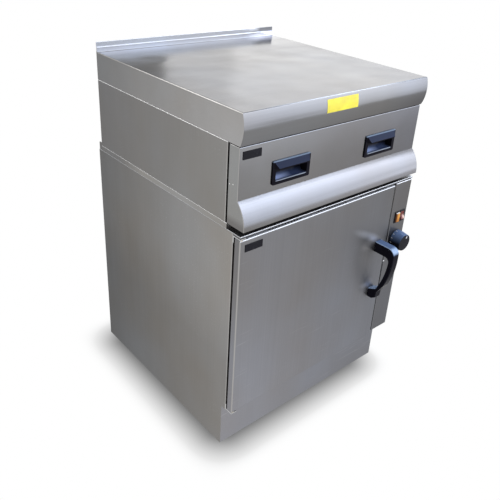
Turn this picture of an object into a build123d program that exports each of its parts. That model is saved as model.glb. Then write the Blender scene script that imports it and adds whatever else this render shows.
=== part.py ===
from build123d import *
import os
from math import sqrt

# Electric convection oven base with a drawer worktop unit standing on it, for a catering line.
# Millimetres, +Z up, front towards -Y, origin on the floor under the middle of the overall box.

os.makedirs("parts", exist_ok=True)

# Overall sizes
WIDTH = 600.0
CARCASS_DEPTH = 592.0
DECK_HEIGHT = 633.0
STRIP_HEIGHT = 14.0
UPPER_SIDE_HEIGHT = 182.0
SKIRT_HEIGHT = 71.0
UPSTAND_HEIGHT = 25.0
TOE_HEIGHT = 120.0
TOE_DEPTH = 16.0
FLOOR_GAP = 4.0

# Folded stainless sheet
SHEET = 1.5
BEND_INSIDE = 0.5
SEAM_ROUND = 1.2
TOP_ROUND = 2.4
SIDE_RETURN = 12.0
PANEL_FLANGE = 15.0

# Worktop and its front fascia
FASCIA_RADIUS = 88.0
FASCIA_CREASE_LEAD = 5.6
FASCIA_FOOT_LEAD = 1.6
FASCIA_FLANGE = 22.0
UPSTAND_LEDGE = 13.0
LEDGE_DEPTH = 5.0
LEDGE_ROUND = 1.0
LEDGE_COVE = 1.0
UPSTAND_EDGE = 0.6
STIFFENER_WIDTH = 60.0
STIFFENER_HEIGHT = 25.0
STIFFENER_SPREAD = 300.0

# Worktop unit, measured from the oven unit's front edges
UPPER_BACK_INSET = 16.0
UPPER_SIDE_INSET = 29.0
UPPER_RETURN = 6.0
STRIP_LEAD = 6.0

# Drawer
DRAWER_THICKNESS = 31.0
DRAWER_GAP = 6.0
DRAWER_END_GAP = 1.0
DRAWER_TOP_GAP = 2.0
DRAWER_FLOOR_GAP = 13.0
NOSE_RADIUS = 81.0
NOSE_REACH = 25.5
NOSE_LIP = 4.0
BOX_HEIGHT = 140.0
BOX_FLOOR_GAP = 9.0
BOX_BACK_GAP = 40.0
BOX_HEM = 8.0

# Drawer pulls
PULL_WIDTH = 112.0
PULL_HEIGHT = 55.0
PULL_OFFSET = 151.0
PULL_DROP = 78.0
PULL_CORNER = 4.0
PULL_BEZEL = 3.0
PULL_RIM = 7.0
PULL_WALL = 2.0
BOWL_DEPTH = 22.0
BOWL_SCOOP = 14.0
HOOD_DROP = 15.0
HOOD_REACH = 9.0
HOOD_TAPER = 7.0
PULL_FIT = 0.4

# Telescopic runners
RUNNER_HEIGHT = 45.0
RUNNER_SPACE = 17.5
RUNNER_LIP = 9.0
RUNNER_SIDE_PLAY = 0.7
RUNNER_PLAY = 0.2
RUNNER_FRONT_GAP = 8.0
RUNNER_NOTCH_ROOM = 2.0

# Oven door and control panel
PANEL_WIDTH = 67.0
DOOR_THICKNESS = 17.0
DOOR_GAP = 7.8
DOOR_SIDE_GAP = 3.5
DOOR_TOP_GAP = 5.5
DOOR_SILL = 18.0
NOTCH_ABOVE_TOE = 12.0
DECK_LIP = 4.5
DECK_LIP_ROUND = 2.0
DOOR_ROUND = 3.4
PANEL_SILL = 9.0
PANEL_TOP_GAP = 1.5
SEAL_INSET = 6.0
SEAL_WIDTH = 12.0
SEAL_THICKNESS = 6.0
PLUG_MARGIN = 3.0

# Door top vent slots
VENT_GROUPS = 3
VENT_SLOTS = 11
VENT_GROUP_SPACING = 153.5
VENT_SHIFT = 25.0
VENT_PITCH = 9.4
VENT_WIDTH = 4.5
VENT_LENGTH = 10.0

# Door handle
HANDLE_LENGTH = 176.0
HANDLE_WIDTH = 24.0
HANDLE_REACH = 64.0
HANDLE_INSET = 36.0
HANDLE_ARM = 31.0
HANDLE_FOOT = 27.0
HANDLE_TOE = 14.0
HANDLE_HEEL_REACH = 26.0
HANDLE_HEEL_RISE = 8.0
HANDLE_CORNER = 20.0
HANDLE_THROAT = 13.0
CROOK_REACH = 24.0
CROOK_RISE = 38.0
CROOK_ROUND = 6.0
GRIP_THICKNESS = 14.5
GRIP_LEAN = 17.5
GRIP_DROP = 120.0
HOOK_REACH = 28.0
HOOK_RISE = 26.0
HANDLE_EDGE = 2.5
HANDLE_SCREW_RADIUS = 3.0
HANDLE_SCREW_DEPTH = 9.0
SCREW_HEAD_RADIUS = 6.0
SCREW_HEAD_HEIGHT = 3.5
SCREW_HOLE_PLAY = 0.4

# Door hinges and catch
HINGE_INSET = 6.0
HINGE_DEPTH = 5.8
HINGE_PIN_RADIUS = 3.0
HINGE_PIN_REACH = 13.0
HINGE_PLAY = 0.05
HINGE_PLATE = 2.5
HINGE_WIDTH = 16.0
HINGE_COLLAR_RADIUS = 5.0
HINGE_COLLAR_HEIGHT = 1.5
BUSH_LENGTH = 14.0
BUSH_WIDTH = 10.0
CATCH_RADIUS = 4.0
CATCH_PLAY = 0.05
CATCH_BARREL_RADIUS = 6.5
CATCH_BARREL_LENGTH = 26.0
CATCH_SPRING_SPACE = 6.0
CATCH_NOSE_GAP = 0.4
CATCH_NOSE_ROUND = 2.8

# Oven cavity
SIDE_INSULATION = 37.75
FLOOR_INSULATION = 47.0
BACK_INSULATION = 35.0
ROOF_SPACE = 50.0
ROOF_AIR = 5.0
REAR_BAY = 115.0
LINER_FLANGE = 12.0

# Shelf racks and wire shelves
RACK_ROD = 3.0
RACK_STANDOFF = 8.0
RACK_PIN = 2.5
RACK_FRONT_GAP = 24.0
RACK_BACK_GAP = 6.0
RACK_FOOT_GAP = 22.0
RACK_HEAD_GAP = 50.0
RACK_UPRIGHT_INSET = 34.0
RACK_LEVELS = 5
RUNG_WIDTH = 12.0
RUNG_THICKNESS = 2.0
RUNG_BITE = 1.0
SHELF_FRAME = 3.0
SHELF_WIRE = 1.75
SHELF_WIRES = 17
SHELF_FRONT_GAP = 30.0
SHELF_BACK_GAP = 10.0
SHELF_LIFT = 0.3
SHELF_LEVELS = (1, 3)

# Fan, element and motor
FAN_SPACE = 50.0
BAFFLE_MARGIN = 24.0
BAFFLE_HOLE = 5.0
BAFFLE_RING_PITCH = 17.0
BAFFLE_RINGS = 4
BAFFLE_RING_HOLES = 6
FAN_RADIUS = 80.0
FAN_BLADES = 12
FAN_BLADE_INNER = 46.0
FAN_BLADE_DEPTH = 28.0
FAN_BACK_GAP = 14.0
FAN_HUB_RADIUS = 11.0
SHAFT_RADIUS = 5.0
SHAFT_PLAY = 0.05
SHAFT_HOLE_ROOM = 4.0
ELEMENT_RADIUS = 105.0
ELEMENT_TUBE = 4.0
ELEMENT_LEG = 5.0
ELEMENT_BACK_GAP = 26.0
ELEMENT_LEG_SPREAD = 44.0
ELEMENT_COLLAR = 9.0
ELEMENT_COLLAR_THICKNESS = 3.0
BRIDGE_HEIGHT = 100.0
BRIDGE_THICKNESS = 2.0
STANDOFF_LENGTH = 14.0
STANDOFF_RADIUS = 4.0
MOTOR_RADIUS = 46.0
MOTOR_LENGTH = 58.0
MOTOR_BOSS_RADIUS = 18.0
MOTOR_BOSS_LENGTH = 12.0

# Controls
CONTROL_WIDTH = 20.0
CONTROL_HEIGHT = 33.0
CONTROL_SPACING = 21.0
CONTROL_DROP = 112.0
CONTROL_SHIFT = 3.5
CONTROL_BEZEL = 2.0
CONTROL_RIM = 1.2
CONTROL_DEPTH = 20.0
CONTROL_FIT = 0.3
LENS_DEPTH = 8.0
LENS_FIT = 0.15
LENS_CROWN = 3.0
LENS_TAPER = 20.0
CONTROL_WALL = 1.2
ROCKER_TILT = 12.0
ROCKER_HALF = 11.4
ROCKER_VALLEY = 6.5
ROCKER_HORN = 9.0
ROCKER_PIVOT_DEPTH = 5.2
ROCKER_TAIL = 4.0
ROCKER_PIN_RADIUS = 1.5
ROCKER_PLAY = 0.4
KNOB_DROP = 182.0
KNOB_RADIUS = 27.0
KNOB_FACE_RADIUS = 24.0
KNOB_DEPTH = 31.0
KNOB_GAP = 1.0
KNOB_SKIRT = 9.0
KNOB_EDGE = 2.0
SPINDLE_RADIUS = 3.0
SPINDLE_PLAY = 0.05
SPINDLE_GRIP = 18.0
THERMOSTAT_WIDTH = 34.0
THERMOSTAT_HEIGHT = 42.0
THERMOSTAT_DEPTH = 30.0
PROBE_RADIUS = 3.0
PROBE_LENGTH = 90.0
PROBE_WALL_GAP = 6.0
PROBE_HEAD_GAP = 22.0
PROBE_START = 60.0
PROBE_CLIP_INSET = 20.0
CAPILLARY_RADIUS = 1.0
CAPILLARY_ROOM = 1.5
CAPILLARY_BEND = 10.0
TERMINAL_WIDTH = 34.0
TERMINAL_LENGTH = 80.0
TERMINAL_HEIGHT = 24.0
TERMINAL_BACK_GAP = 60.0
TERMINAL_WAYS = 5
TERMINAL_RIB = 6.0
TERMINAL_NOTCH = 10.0

# Back of the oven unit
COVER_SIZE = 240.0
COVER_OVERLAP = 15.0
COVER_SLOTS = 9
COVER_SLOT_LENGTH = 130.0
COVER_SLOT_WIDTH = 5.0
COVER_SLOT_PITCH = 16.0
GLAND_RADIUS = 11.0
GLAND_BORE = 5.0
GLAND_FIT = 0.3
GLAND_REACH = 16.0
GLAND_FLANGE = 15.0
GLAND_FLANGE_THICKNESS = 4.0
GLAND_INSIDE = 12.0
GLAND_HEIGHT = 70.0
BRACKET_WIDTH = 24.0
BRACKET_HEIGHT = 20.0
BRACKET_THICKNESS = 2.5
REAR_SCREW_RADIUS = 4.0
REAR_SCREW_HEIGHT = 2.2
REAR_SCREW_INSET = 12.0

# Levelling feet
FOOT_RADIUS = 20.0
FOOT_HEIGHT = 12.0
FOOT_EDGE = 2.0
FOOT_STUD = 6.0
FOOT_NUT = 10.0
FOOT_NUT_HEIGHT = 8.0
FOOT_PLATE_HEIGHT = 45.0
FOOT_PLATE = 3.0
FOOT_PLATE_SIZE = 80.0
FOOT_STUD_TOP = 14.0
FOOT_PLAY = 0.05

# Levels
BEND = SHEET + BEND_INSIDE
base_top = DECK_HEIGHT + STRIP_HEIGHT
side_top = base_top + UPPER_SIDE_HEIGHT
top = side_top + SKIRT_HEIGHT
deck_under = DECK_HEIGHT - SHEET
lip_under = DECK_HEIGHT - DECK_LIP
pan_top = TOE_HEIGHT + SHEET
notch_top = TOE_HEIGHT + NOTCH_ABOVE_TOE
door_top = lip_under - DOOR_TOP_GAP
door_bottom = TOE_HEIGHT + DOOR_SILL
door_middle = (door_top + door_bottom) / 2
panel_top = lip_under - PANEL_TOP_GAP
panel_bottom = door_bottom + PANEL_SILL

# Depths, with the overall box centred on the origin
door_proud = DOOR_THICKNESS + DOOR_GAP
front_reach = door_proud + HANDLE_REACH
back_reach = CARCASS_DEPTH + GLAND_REACH
carcass_front = (front_reach - back_reach) / 2
carcass_back = carcass_front + CARCASS_DEPTH
back_inside = carcass_back - SHEET
door_face = carcass_front - door_proud
door_back = carcass_front - DOOR_GAP
frame_front = carcass_front + TOE_DEPTH
frame_back = frame_front + SHEET
upper_front = carcass_front + UPPER_SIDE_INSET
upper_back = carcass_back - UPPER_BACK_INSET
upper_back_inside = upper_back - SHEET
drawer_back = upper_front - DRAWER_GAP
drawer_face = drawer_back - DRAWER_THICKNESS
strip_front = upper_front - STRIP_LEAD

# Widths
half = WIDTH / 2
inner = half - SHEET
panel_left = half - PANEL_WIDTH
bay_left = panel_left + SHEET
bay_middle = (panel_left + half) / 2
door_right = panel_left - DOOR_SIDE_GAP
door_left = -half
SIDES = (("left", -1), ("right", 1))

# Oven cavity
cavity_left = -inner + SIDE_INSULATION + SHEET
cavity_right = panel_left - SIDE_INSULATION - SHEET
cavity_floor = pan_top + FLOOR_INSULATION + SHEET
cavity_roof = deck_under - ROOF_SPACE - SHEET
cavity_mouth = frame_back
insulation_back = back_inside - REAR_BAY
cavity_back = insulation_back - BACK_INSULATION - SHEET
fan_x = (cavity_left + cavity_right) / 2
fan_z = (cavity_floor + cavity_roof) / 2
cavity_x = (cavity_left, cavity_right)
cavity_z = (cavity_floor, cavity_roof)


def grown(limits, amount):
    """The same pair of limits, moved apart by an amount at each end."""
    return limits[0] - amount, limits[1] + amount


def about(middle, size):
    """The pair of limits of a size that is centred on a middle."""
    return middle - size / 2, middle + size / 2


def span(sign, near, far):
    """The x limits between two distances from the middle plane, on the left or the right."""
    return sorted((sign * near, sign * far))


def block(x, y, z, mode=Mode.ADD):
    """Adds or cuts a box that runs between the given x, y and z limits."""
    with Locations(((x[0] + x[1]) / 2, (y[0] + y[1]) / 2, (z[0] + z[1]) / 2)):
        Box(x[1] - x[0], y[1] - y[0], z[1] - z[0], mode=mode)


def rod(start, end, radius, mode=Mode.ADD):
    """Adds or cuts a round rod that runs between two points."""
    path = Vector(*end) - Vector(*start)
    with Locations(Plane(origin=start, z_dir=path)):
        Cylinder(radius, path.length, align=(Align.CENTER, Align.CENTER, Align.MIN), mode=mode)


def x_rod(x, y, z, radius, mode=Mode.ADD):
    """Adds or cuts a round rod that runs along X between two limits."""
    rod((x[0], y, z), (x[1], y, z), radius, mode)


def y_rod(x, y, z, radius, mode=Mode.ADD):
    """Adds or cuts a round rod that runs along Y between two limits."""
    rod((x, y[0], z), (x, y[1], z), radius, mode)


def z_rod(x, y, z, radius, mode=Mode.ADD):
    """Adds or cuts a round rod that runs along Z between two limits."""
    rod((x, y, z[0]), (x, y, z[1]), radius, mode)


def front_plane(y):
    """The plane at a depth, with X to the right and Z up, that extrudes towards the front."""
    return Plane.XZ.offset(-y)


def side_plane(origin):
    """The plane through a point, with Y to the right and Z up, that extrudes towards +X."""
    return Plane(origin=origin, x_dir=(0, 1, 0), z_dir=(1, 0, 0))


def keep(piece, name):
    """Labels a finished sub-part and writes its file."""
    piece.part.label = name
    export_step(piece.part, f"parts/{name}.step")


# Worktop: one folded sheet with a rolled front fascia, side skirts and a ledged rear upstand
fascia_crease = Vector(drawer_face - FASCIA_CREASE_LEAD, top)
fascia_foot = Vector(drawer_face - FASCIA_FOOT_LEAD, side_top)
chord = fascia_foot - fascia_crease
chord_rise = sqrt(FASCIA_RADIUS**2 - (chord.length / 2) ** 2)
fascia_centre = (fascia_crease + fascia_foot) * 0.5 + Vector(-chord.Y, chord.X).normalized() * chord_rise


def fascia_point(radius, level):
    """The point of the fascia's inner or outer arc at a level."""
    return fascia_centre.X - sqrt(radius**2 - (level - fascia_centre.Y) ** 2), level


with BuildPart() as worktop:
    for inset, mode in ((0, Mode.ADD), (SHEET, Mode.SUBTRACT)):
        arc_radius = FASCIA_RADIUS - inset
        crease = fascia_point(arc_radius, top - inset)
        foot = fascia_point(arc_radius, side_top)
        with BuildSketch(Plane.YZ.offset(-half + inset)):
            with BuildLine():
                RadiusArc(crease, foot, -arc_radius)
                Polyline(foot, (upper_back - inset, side_top), (upper_back - inset, top - inset), crease)
            make_face()
        extrude(amount=WIDTH - 2 * inset, mode=mode)
    outer_edges = worktop.edges().group_by(Axis.Z)[-1]
    side_bends = outer_edges.filter_by(Axis.Y)
    front_bend = outer_edges.filter_by(Axis.X).sort_by(Axis.Y)[0]
    fillet(side_bends + [front_bend], TOP_ROUND)
    flange_z = (side_top, side_top + SHEET)
    block((-inner, inner), (fascia_foot.X, fascia_foot.X + FASCIA_FLANGE), flange_z)
    for side, sign in SIDES:
        block(span(sign, half - PANEL_FLANGE, half), (fascia_foot.X, upper_back), flange_z)
    skirts = worktop.faces().filter_by(Axis.X).sort_by(Axis.X)
    skirt_seams = [skirt.edges().filter_by(Axis.Y).sort_by(Axis.Z)[0] for skirt in (skirts[0], skirts[-1])]
    fillet(skirt_seams, SEAM_ROUND)
    block((-half, half), (upper_back_inside, upper_back), (top - TOP_ROUND, top + UPSTAND_HEIGHT))
    ledge_front = upper_back - LEDGE_DEPTH
    block((-half, half), (ledge_front, upper_back), (top - TOP_ROUND, top + UPSTAND_LEDGE))
    upstand_edges = worktop.edges().filter_by(Axis.X).group_by(Axis.Z)[-1]
    fillet(upstand_edges, UPSTAND_EDGE)
    ledge_edges = worktop.edges().filter_by(Axis.X).filter_by_position(Axis.Y, ledge_front, ledge_front)
    fillet(ledge_edges.sort_by(Axis.Z)[-1], LEDGE_ROUND)
    cove_edges = worktop.edges().filter_by(Axis.X).filter_by_position(Axis.Y, ledge_front, ledge_front)
    fillet(cove_edges.filter_by_position(Axis.Z, top, top), LEDGE_COVE)
keep(worktop, "worktop")

# Top hat channels that stiffen the worktop from below
stiffener_y = (upper_front, ledge_front)
with BuildPart() as worktop_stiffeners:
    for side, sign in SIDES:
        middle = sign * STIFFENER_SPREAD / 2
        stiffener_z = (top - SHEET - STIFFENER_HEIGHT, top - SHEET)
        block(about(middle, STIFFENER_WIDTH), stiffener_y, stiffener_z)
        block(
            about(middle, STIFFENER_WIDTH - 2 * SHEET),
            stiffener_y,
            (stiffener_z[0] + SHEET, stiffener_z[1]),
            mode=Mode.SUBTRACT,
        )
keep(worktop_stiffeners, "worktop_stiffeners")

# Worktop unit's side panels, notched at the front where the runners pass
box_floor = base_top + BOX_FLOOR_GAP
runner_z = box_floor + BOX_HEIGHT / 2
for side, sign in SIDES:
    with BuildPart() as upper_side:
        side_z = (base_top, side_top)
        block(span(sign, inner, half), (upper_front, upper_back), side_z)
        block(span(sign, half - UPPER_RETURN, half), (upper_front, upper_front + SHEET), side_z)
        bend = upper_side.edges().filter_by(Axis.Z).group_by(Axis.Y)[0].sort_by(Axis.X)
        fillet(bend[0] if sign < 0 else bend[-1], BEND)
        block(
            span(sign, half - UPPER_RETURN, inner),
            (upper_front, upper_front + SHEET),
            about(runner_z, RUNNER_HEIGHT + 2 * RUNNER_NOTCH_ROOM),
            mode=Mode.SUBTRACT,
        )
        flange_x = span(sign, half - PANEL_FLANGE, inner)
        flange_y = (upper_front + SHEET, upper_back_inside)
        block(flange_x, flange_y, (base_top, base_top + SHEET))
        block(flange_x, flange_y, (side_top - SHEET, side_top))
        outer_face = upper_side.faces().filter_by(Axis.X).sort_by(Axis.X)[0 if sign < 0 else -1]
        fillet(outer_face.edges().filter_by(Axis.Y).sort_by(Axis.Z)[-1], SEAM_ROUND)
    keep(upper_side, f"upper_{side}_side")

# Worktop unit's back
with BuildPart() as upper_back_panel:
    block((-inner, inner), (upper_back_inside, upper_back), (base_top, side_top))
keep(upper_back_panel, "upper_back")

# Shallow base tray between the two units
with BuildPart() as upper_base:
    tray_y = (strip_front, upper_back)
    block((-half, half), tray_y, (DECK_HEIGHT, base_top))
    block(
        (-inner, inner),
        (strip_front + SHEET, upper_back_inside),
        (DECK_HEIGHT + SHEET, base_top),
        mode=Mode.SUBTRACT,
    )
    for side, sign in SIDES:
        block(span(sign, half - PANEL_FLANGE, half), tray_y, (base_top - SHEET, base_top))
    ends = upper_base.faces().filter_by(Axis.X).sort_by(Axis.X)
    end_tops = [end.edges().filter_by(Axis.Y).sort_by(Axis.Z)[-1] for end in (ends[0], ends[-1])]
    fillet(end_tops, SEAM_ROUND)
keep(upper_base, "upper_base")

# Drawer front: a hollow folded front with a rolled nose along its lower edge
drawer_half = half - DRAWER_END_GAP
drawer_top = side_top - DRAWER_TOP_GAP
drawer_bottom = DECK_HEIGHT + DRAWER_FLOOR_GAP
nose_y = drawer_face - NOSE_REACH
nose_tip_z = drawer_bottom + NOSE_LIP
pull_z = side_top - PULL_DROP
bowl_width = PULL_WIDTH - 2 * PULL_RIM
bowl_height = PULL_HEIGHT - 2 * PULL_RIM
with BuildPart() as drawer_front:
    for inset, mode in ((0, Mode.ADD), (SHEET, Mode.SUBTRACT)):
        face_y = drawer_face + inset
        tip_y = nose_y + inset
        back_y = drawer_back - inset
        upper_z = drawer_top - inset
        lower_z = drawer_bottom + inset
        arc_radius = NOSE_RADIUS - inset
        crease_z = nose_tip_z + sqrt(arc_radius**2 - (arc_radius - NOSE_REACH) ** 2)
        with BuildSketch(Plane.YZ.offset(-drawer_half + inset)):
            with BuildLine():
                Line((face_y, upper_z), (face_y, crease_z))
                RadiusArc((face_y, crease_z), (tip_y, nose_tip_z), -arc_radius)
                Polyline(
                    (tip_y, nose_tip_z),
                    (tip_y, lower_z),
                    (back_y, lower_z),
                    (back_y, upper_z),
                    (face_y, upper_z),
                )
            make_face()
        extrude(amount=2 * (drawer_half - inset), mode=mode)
    outer_edges = drawer_front.edges().filter_by(Axis.X)
    top_bend = outer_edges.group_by(Axis.Z)[-1].sort_by(Axis.Y)[0]
    nose_bend = outer_edges.group_by(Axis.Z)[0].sort_by(Axis.Y)[0]
    fillet([top_bend, nose_bend], BEND)
    drawer_ends = drawer_front.faces().filter_by(Axis.X).sort_by(Axis.X)
    end_edges = drawer_ends[0].edges() + drawer_ends[-1].edges()
    fillet(end_edges.filter_by_position(Axis.Y, nose_y, drawer_face + BEND), SEAM_ROUND)
    with BuildSketch(front_plane(drawer_face + SHEET)):
        with Locations((-PULL_OFFSET, pull_z), (PULL_OFFSET, pull_z)):
            RectangleRounded(bowl_width + 2 * PULL_FIT, bowl_height + 2 * PULL_FIT, PULL_CORNER)
    extrude(amount=SHEET, mode=Mode.SUBTRACT)
keep(drawer_front, "drawer_front")

# Recessed drawer pulls with a hood over the finger bowl
pull_front = drawer_face - PULL_BEZEL
hood_low = pull_z + PULL_HEIGHT / 2 - PULL_WALL - HOOD_DROP
hood_width = PULL_WIDTH - 2 * PULL_CORNER
for side, sign in SIDES:
    pull_x = sign * PULL_OFFSET
    with BuildPart() as pull:
        with BuildSketch(front_plane(drawer_face)):
            with Locations((pull_x, pull_z)):
                RectangleRounded(PULL_WIDTH, PULL_HEIGHT, PULL_CORNER)
        extrude(amount=PULL_BEZEL)
        with BuildSketch(front_plane(drawer_face)):
            with Locations((pull_x, pull_z)):
                RectangleRounded(bowl_width, bowl_height, PULL_CORNER)
        extrude(amount=-BOWL_DEPTH)
        with BuildSketch(front_plane(pull_front)):
            with Locations((pull_x, hood_low)):
                Rectangle(hood_width, HOOD_DROP, align=(Align.CENTER, Align.MIN))
        with BuildSketch(front_plane(pull_front - HOOD_REACH)):
            with Locations((pull_x, hood_low)):
                tip_width = hood_width - 2 * HOOD_TAPER
                Rectangle(tip_width, PULL_WALL, align=(Align.CENTER, Align.MIN))
        loft()
        with BuildSketch(front_plane(pull_front)):
            with Locations((pull_x, pull_z)):
                RectangleRounded(bowl_width - 2 * PULL_WALL, bowl_height - 2 * PULL_WALL, PULL_CORNER)
        extrude(amount=-(PULL_BEZEL + BOWL_DEPTH - PULL_WALL), mode=Mode.SUBTRACT)
        scoop_back = drawer_face + BOWL_DEPTH - PULL_WALL
        scoop_low = pull_z - bowl_height / 2 + PULL_WALL
        with BuildSketch(side_plane((pull_x - bowl_width / 2 + PULL_WALL, scoop_back, scoop_low))):
            with BuildLine():
                RadiusArc((0, BOWL_SCOOP), (-BOWL_SCOOP, 0), BOWL_SCOOP)
                Polyline((-BOWL_SCOOP, 0), (0, 0), (0, BOWL_SCOOP))
            make_face()
        extrude(amount=bowl_width - 2 * PULL_WALL)
        with BuildSketch(front_plane(pull_front)):
            with Locations((pull_x, hood_low)):
                hollow = (hood_width - 2 * HOOD_TAPER, HOOD_DROP - 2 * PULL_WALL)
                Rectangle(*hollow, align=(Align.CENTER, Align.MIN))
        with BuildSketch(front_plane(pull_front - HOOD_REACH + 2 * PULL_WALL)):
            with Locations((pull_x, hood_low)):
                hollow_tip = (hood_width - 4 * HOOD_TAPER, PULL_WALL / 2)
                Rectangle(*hollow_tip, align=(Align.CENTER, Align.MIN))
        loft(mode=Mode.SUBTRACT)
    keep(pull, f"drawer_pull_{side}")

# Drawer box behind the front, with hemmed side tops
box_half = inner - RUNNER_SPACE
box_top = box_floor + BOX_HEIGHT
box_back = upper_back_inside - BOX_BACK_GAP
with BuildPart() as drawer_box:
    block((-box_half, box_half), (drawer_back, box_back), (box_floor, box_top))
    block(
        (-box_half + SHEET, box_half - SHEET),
        (drawer_back + SHEET, box_back - SHEET),
        (box_floor + SHEET, box_top),
        mode=Mode.SUBTRACT,
    )
    for side, sign in SIDES:
        hem_x = span(sign, box_half - BOX_HEM, box_half)
        block(hem_x, (drawer_back, box_back), (box_top - SHEET, box_top))
keep(drawer_box, "drawer_box")

# Telescopic runners: a cabinet rail, a middle rail and a drawer rail nested on each side
runner_y = (upper_front + RUNNER_FRONT_GAP, box_back)


def rail(sign, web, lip, height):
    """Adds a C-shaped rail, given the limits of its web and the far end of its lips."""
    block(span(sign, *web), runner_y, about(runner_z, height))
    lip_x = span(sign, min(web), lip) if lip < min(web) else span(sign, max(web), lip)
    for level in (-1, 1):
        edge = runner_z + level * (height - SHEET) / 2
        block(lip_x, runner_y, about(edge, SHEET))


cabinet_web = (inner - SHEET, inner)
middle_web = (cabinet_web[0] - RUNNER_SIDE_PLAY - SHEET, cabinet_web[0] - RUNNER_SIDE_PLAY)
drawer_web = (box_half, box_half + SHEET)
middle_height = RUNNER_HEIGHT - 2 * SHEET - 2 * RUNNER_PLAY
drawer_rail_height = middle_height - 2 * SHEET - 2 * RUNNER_PLAY
with BuildPart() as cabinet_rails:
    for side, sign in SIDES:
        rail(sign, cabinet_web, cabinet_web[0] - RUNNER_LIP, RUNNER_HEIGHT)
keep(cabinet_rails, "runner_cabinet_rails")

with BuildPart() as middle_rails:
    for side, sign in SIDES:
        rail(sign, middle_web, middle_web[0] - RUNNER_LIP, middle_height)
keep(middle_rails, "runner_middle_rails")

with BuildPart() as drawer_rails:
    for side, sign in SIDES:
        rail(sign, drawer_web, middle_web[0] - RUNNER_SIDE_PLAY, drawer_rail_height)
keep(drawer_rails, "runner_drawer_rails")

# Brackets that join the two units at the back
with BuildPart() as joining_brackets:
    for side, sign in SIDES:
        bracket_x = span(sign, inner - BRACKET_WIDTH, inner)
        bracket_z = (DECK_HEIGHT, DECK_HEIGHT + BRACKET_HEIGHT)
        block(bracket_x, (upper_back, upper_back + BRACKET_THICKNESS), bracket_z)
        block(bracket_x, (upper_back, carcass_back), (DECK_HEIGHT, DECK_HEIGHT + BRACKET_THICKNESS))
        block(span(sign, inner - BRACKET_THICKNESS, inner), (upper_back, carcass_back), bracket_z)
keep(joining_brackets, "joining_brackets")

# Oven unit's side panels, cut back at the toe
for side, sign in SIDES:
    with BuildPart() as lower_side:
        panel_z = (FLOOR_GAP, deck_under)
        block(span(sign, inner, half), (carcass_front, carcass_back), panel_z)
        block(span(sign, half - SIDE_RETURN, half), (carcass_front, carcass_front + SHEET), panel_z)
        bend = lower_side.edges().filter_by(Axis.Z).group_by(Axis.Y)[0].sort_by(Axis.X)
        fillet(bend[0] if sign < 0 else bend[-1], BEND)
        block(
            span(sign, half - SIDE_RETURN, half),
            (carcass_front, frame_front),
            (FLOOR_GAP, notch_top),
            mode=Mode.SUBTRACT,
        )
        foot_flange_x = span(sign, half - PANEL_FLANGE, inner)
        block(foot_flange_x, (frame_back, back_inside), (FLOOR_GAP, FLOOR_GAP + SHEET))
    keep(lower_side, f"lower_{side}_side")

# Plinth, base pan and front frame round the oven mouth
with BuildPart() as plinth:
    block((-inner, inner), (frame_front, frame_back), (FLOOR_GAP, TOE_HEIGHT))
keep(plinth, "plinth")

with BuildPart() as base_pan:
    block((-inner, inner), (frame_back, back_inside), (TOE_HEIGHT, pan_top))
keep(base_pan, "base_pan")

with BuildPart() as front_frame:
    frame_y = (frame_front, frame_back)
    block((-inner, panel_left), frame_y, (TOE_HEIGHT, deck_under))
    block((panel_left, inner), frame_y, (TOE_HEIGHT, panel_bottom))
    block(cavity_x, frame_y, cavity_z, mode=Mode.SUBTRACT)
keep(front_frame, "front_frame")

# Top deck, hemmed where it overhangs the door
with BuildPart() as top_deck:
    block((-half, half), (door_face, carcass_back), (deck_under, DECK_HEIGHT))
    block((-half, half), (door_face, carcass_front), (lip_under, DECK_HEIGHT))
    lip_bends = top_deck.edges().filter_by(Axis.X).group_by(Axis.Y)[0]
    fillet(lip_bends, DECK_LIP_ROUND)
    deck_ends = top_deck.faces().filter_by(Axis.X).sort_by(Axis.X)
    end_tops = [end.edges().filter_by(Axis.Y).sort_by(Axis.Z)[-1] for end in (deck_ends[0], deck_ends[-1])]
    fillet(end_tops, SEAM_ROUND)
keep(top_deck, "top_deck")

# Wall between the oven and the control bay
probe_y = cavity_mouth + PROBE_START
probe_z = cavity_roof - PROBE_HEAD_GAP
with BuildPart() as bay_wall:
    block((panel_left, bay_left), (frame_back, back_inside), (pan_top, deck_under))
    capillary_hole = CAPILLARY_RADIUS + CAPILLARY_ROOM
    x_rod((panel_left, bay_left), probe_y, probe_z, capillary_hole, Mode.SUBTRACT)
keep(bay_wall, "bay_wall")

# Oven liner: an open-fronted box with a flange behind the front frame
shaft_hole = SHAFT_RADIUS + SHAFT_HOLE_ROOM
leg_z = fan_z - sqrt(ELEMENT_RADIUS**2 - (ELEMENT_LEG_SPREAD / 2) ** 2)
leg_hole = ELEMENT_LEG + CAPILLARY_ROOM
liner_x = grown(cavity_x, SHEET)
liner_z = grown(cavity_z, SHEET)
with BuildPart() as oven_liner:
    block(liner_x, (cavity_mouth, cavity_back + SHEET), liner_z)
    flange_y = (cavity_mouth, cavity_mouth + SHEET)
    block(grown(cavity_x, LINER_FLANGE), flange_y, grown(cavity_z, LINER_FLANGE))
    block(cavity_x, (cavity_mouth, cavity_back), cavity_z, mode=Mode.SUBTRACT)
    through = (cavity_back, cavity_back + SHEET)
    y_rod(fan_x, through, fan_z, shaft_hole, Mode.SUBTRACT)
    for side, sign in SIDES:
        leg_x = fan_x + sign * ELEMENT_LEG_SPREAD / 2
        y_rod(leg_x, through, leg_z, leg_hole, Mode.SUBTRACT)
    liner_wall = (cavity_right, cavity_right + SHEET)
    x_rod(liner_wall, probe_y, probe_z, capillary_hole, Mode.SUBTRACT)
keep(oven_liner, "oven_liner")

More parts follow.
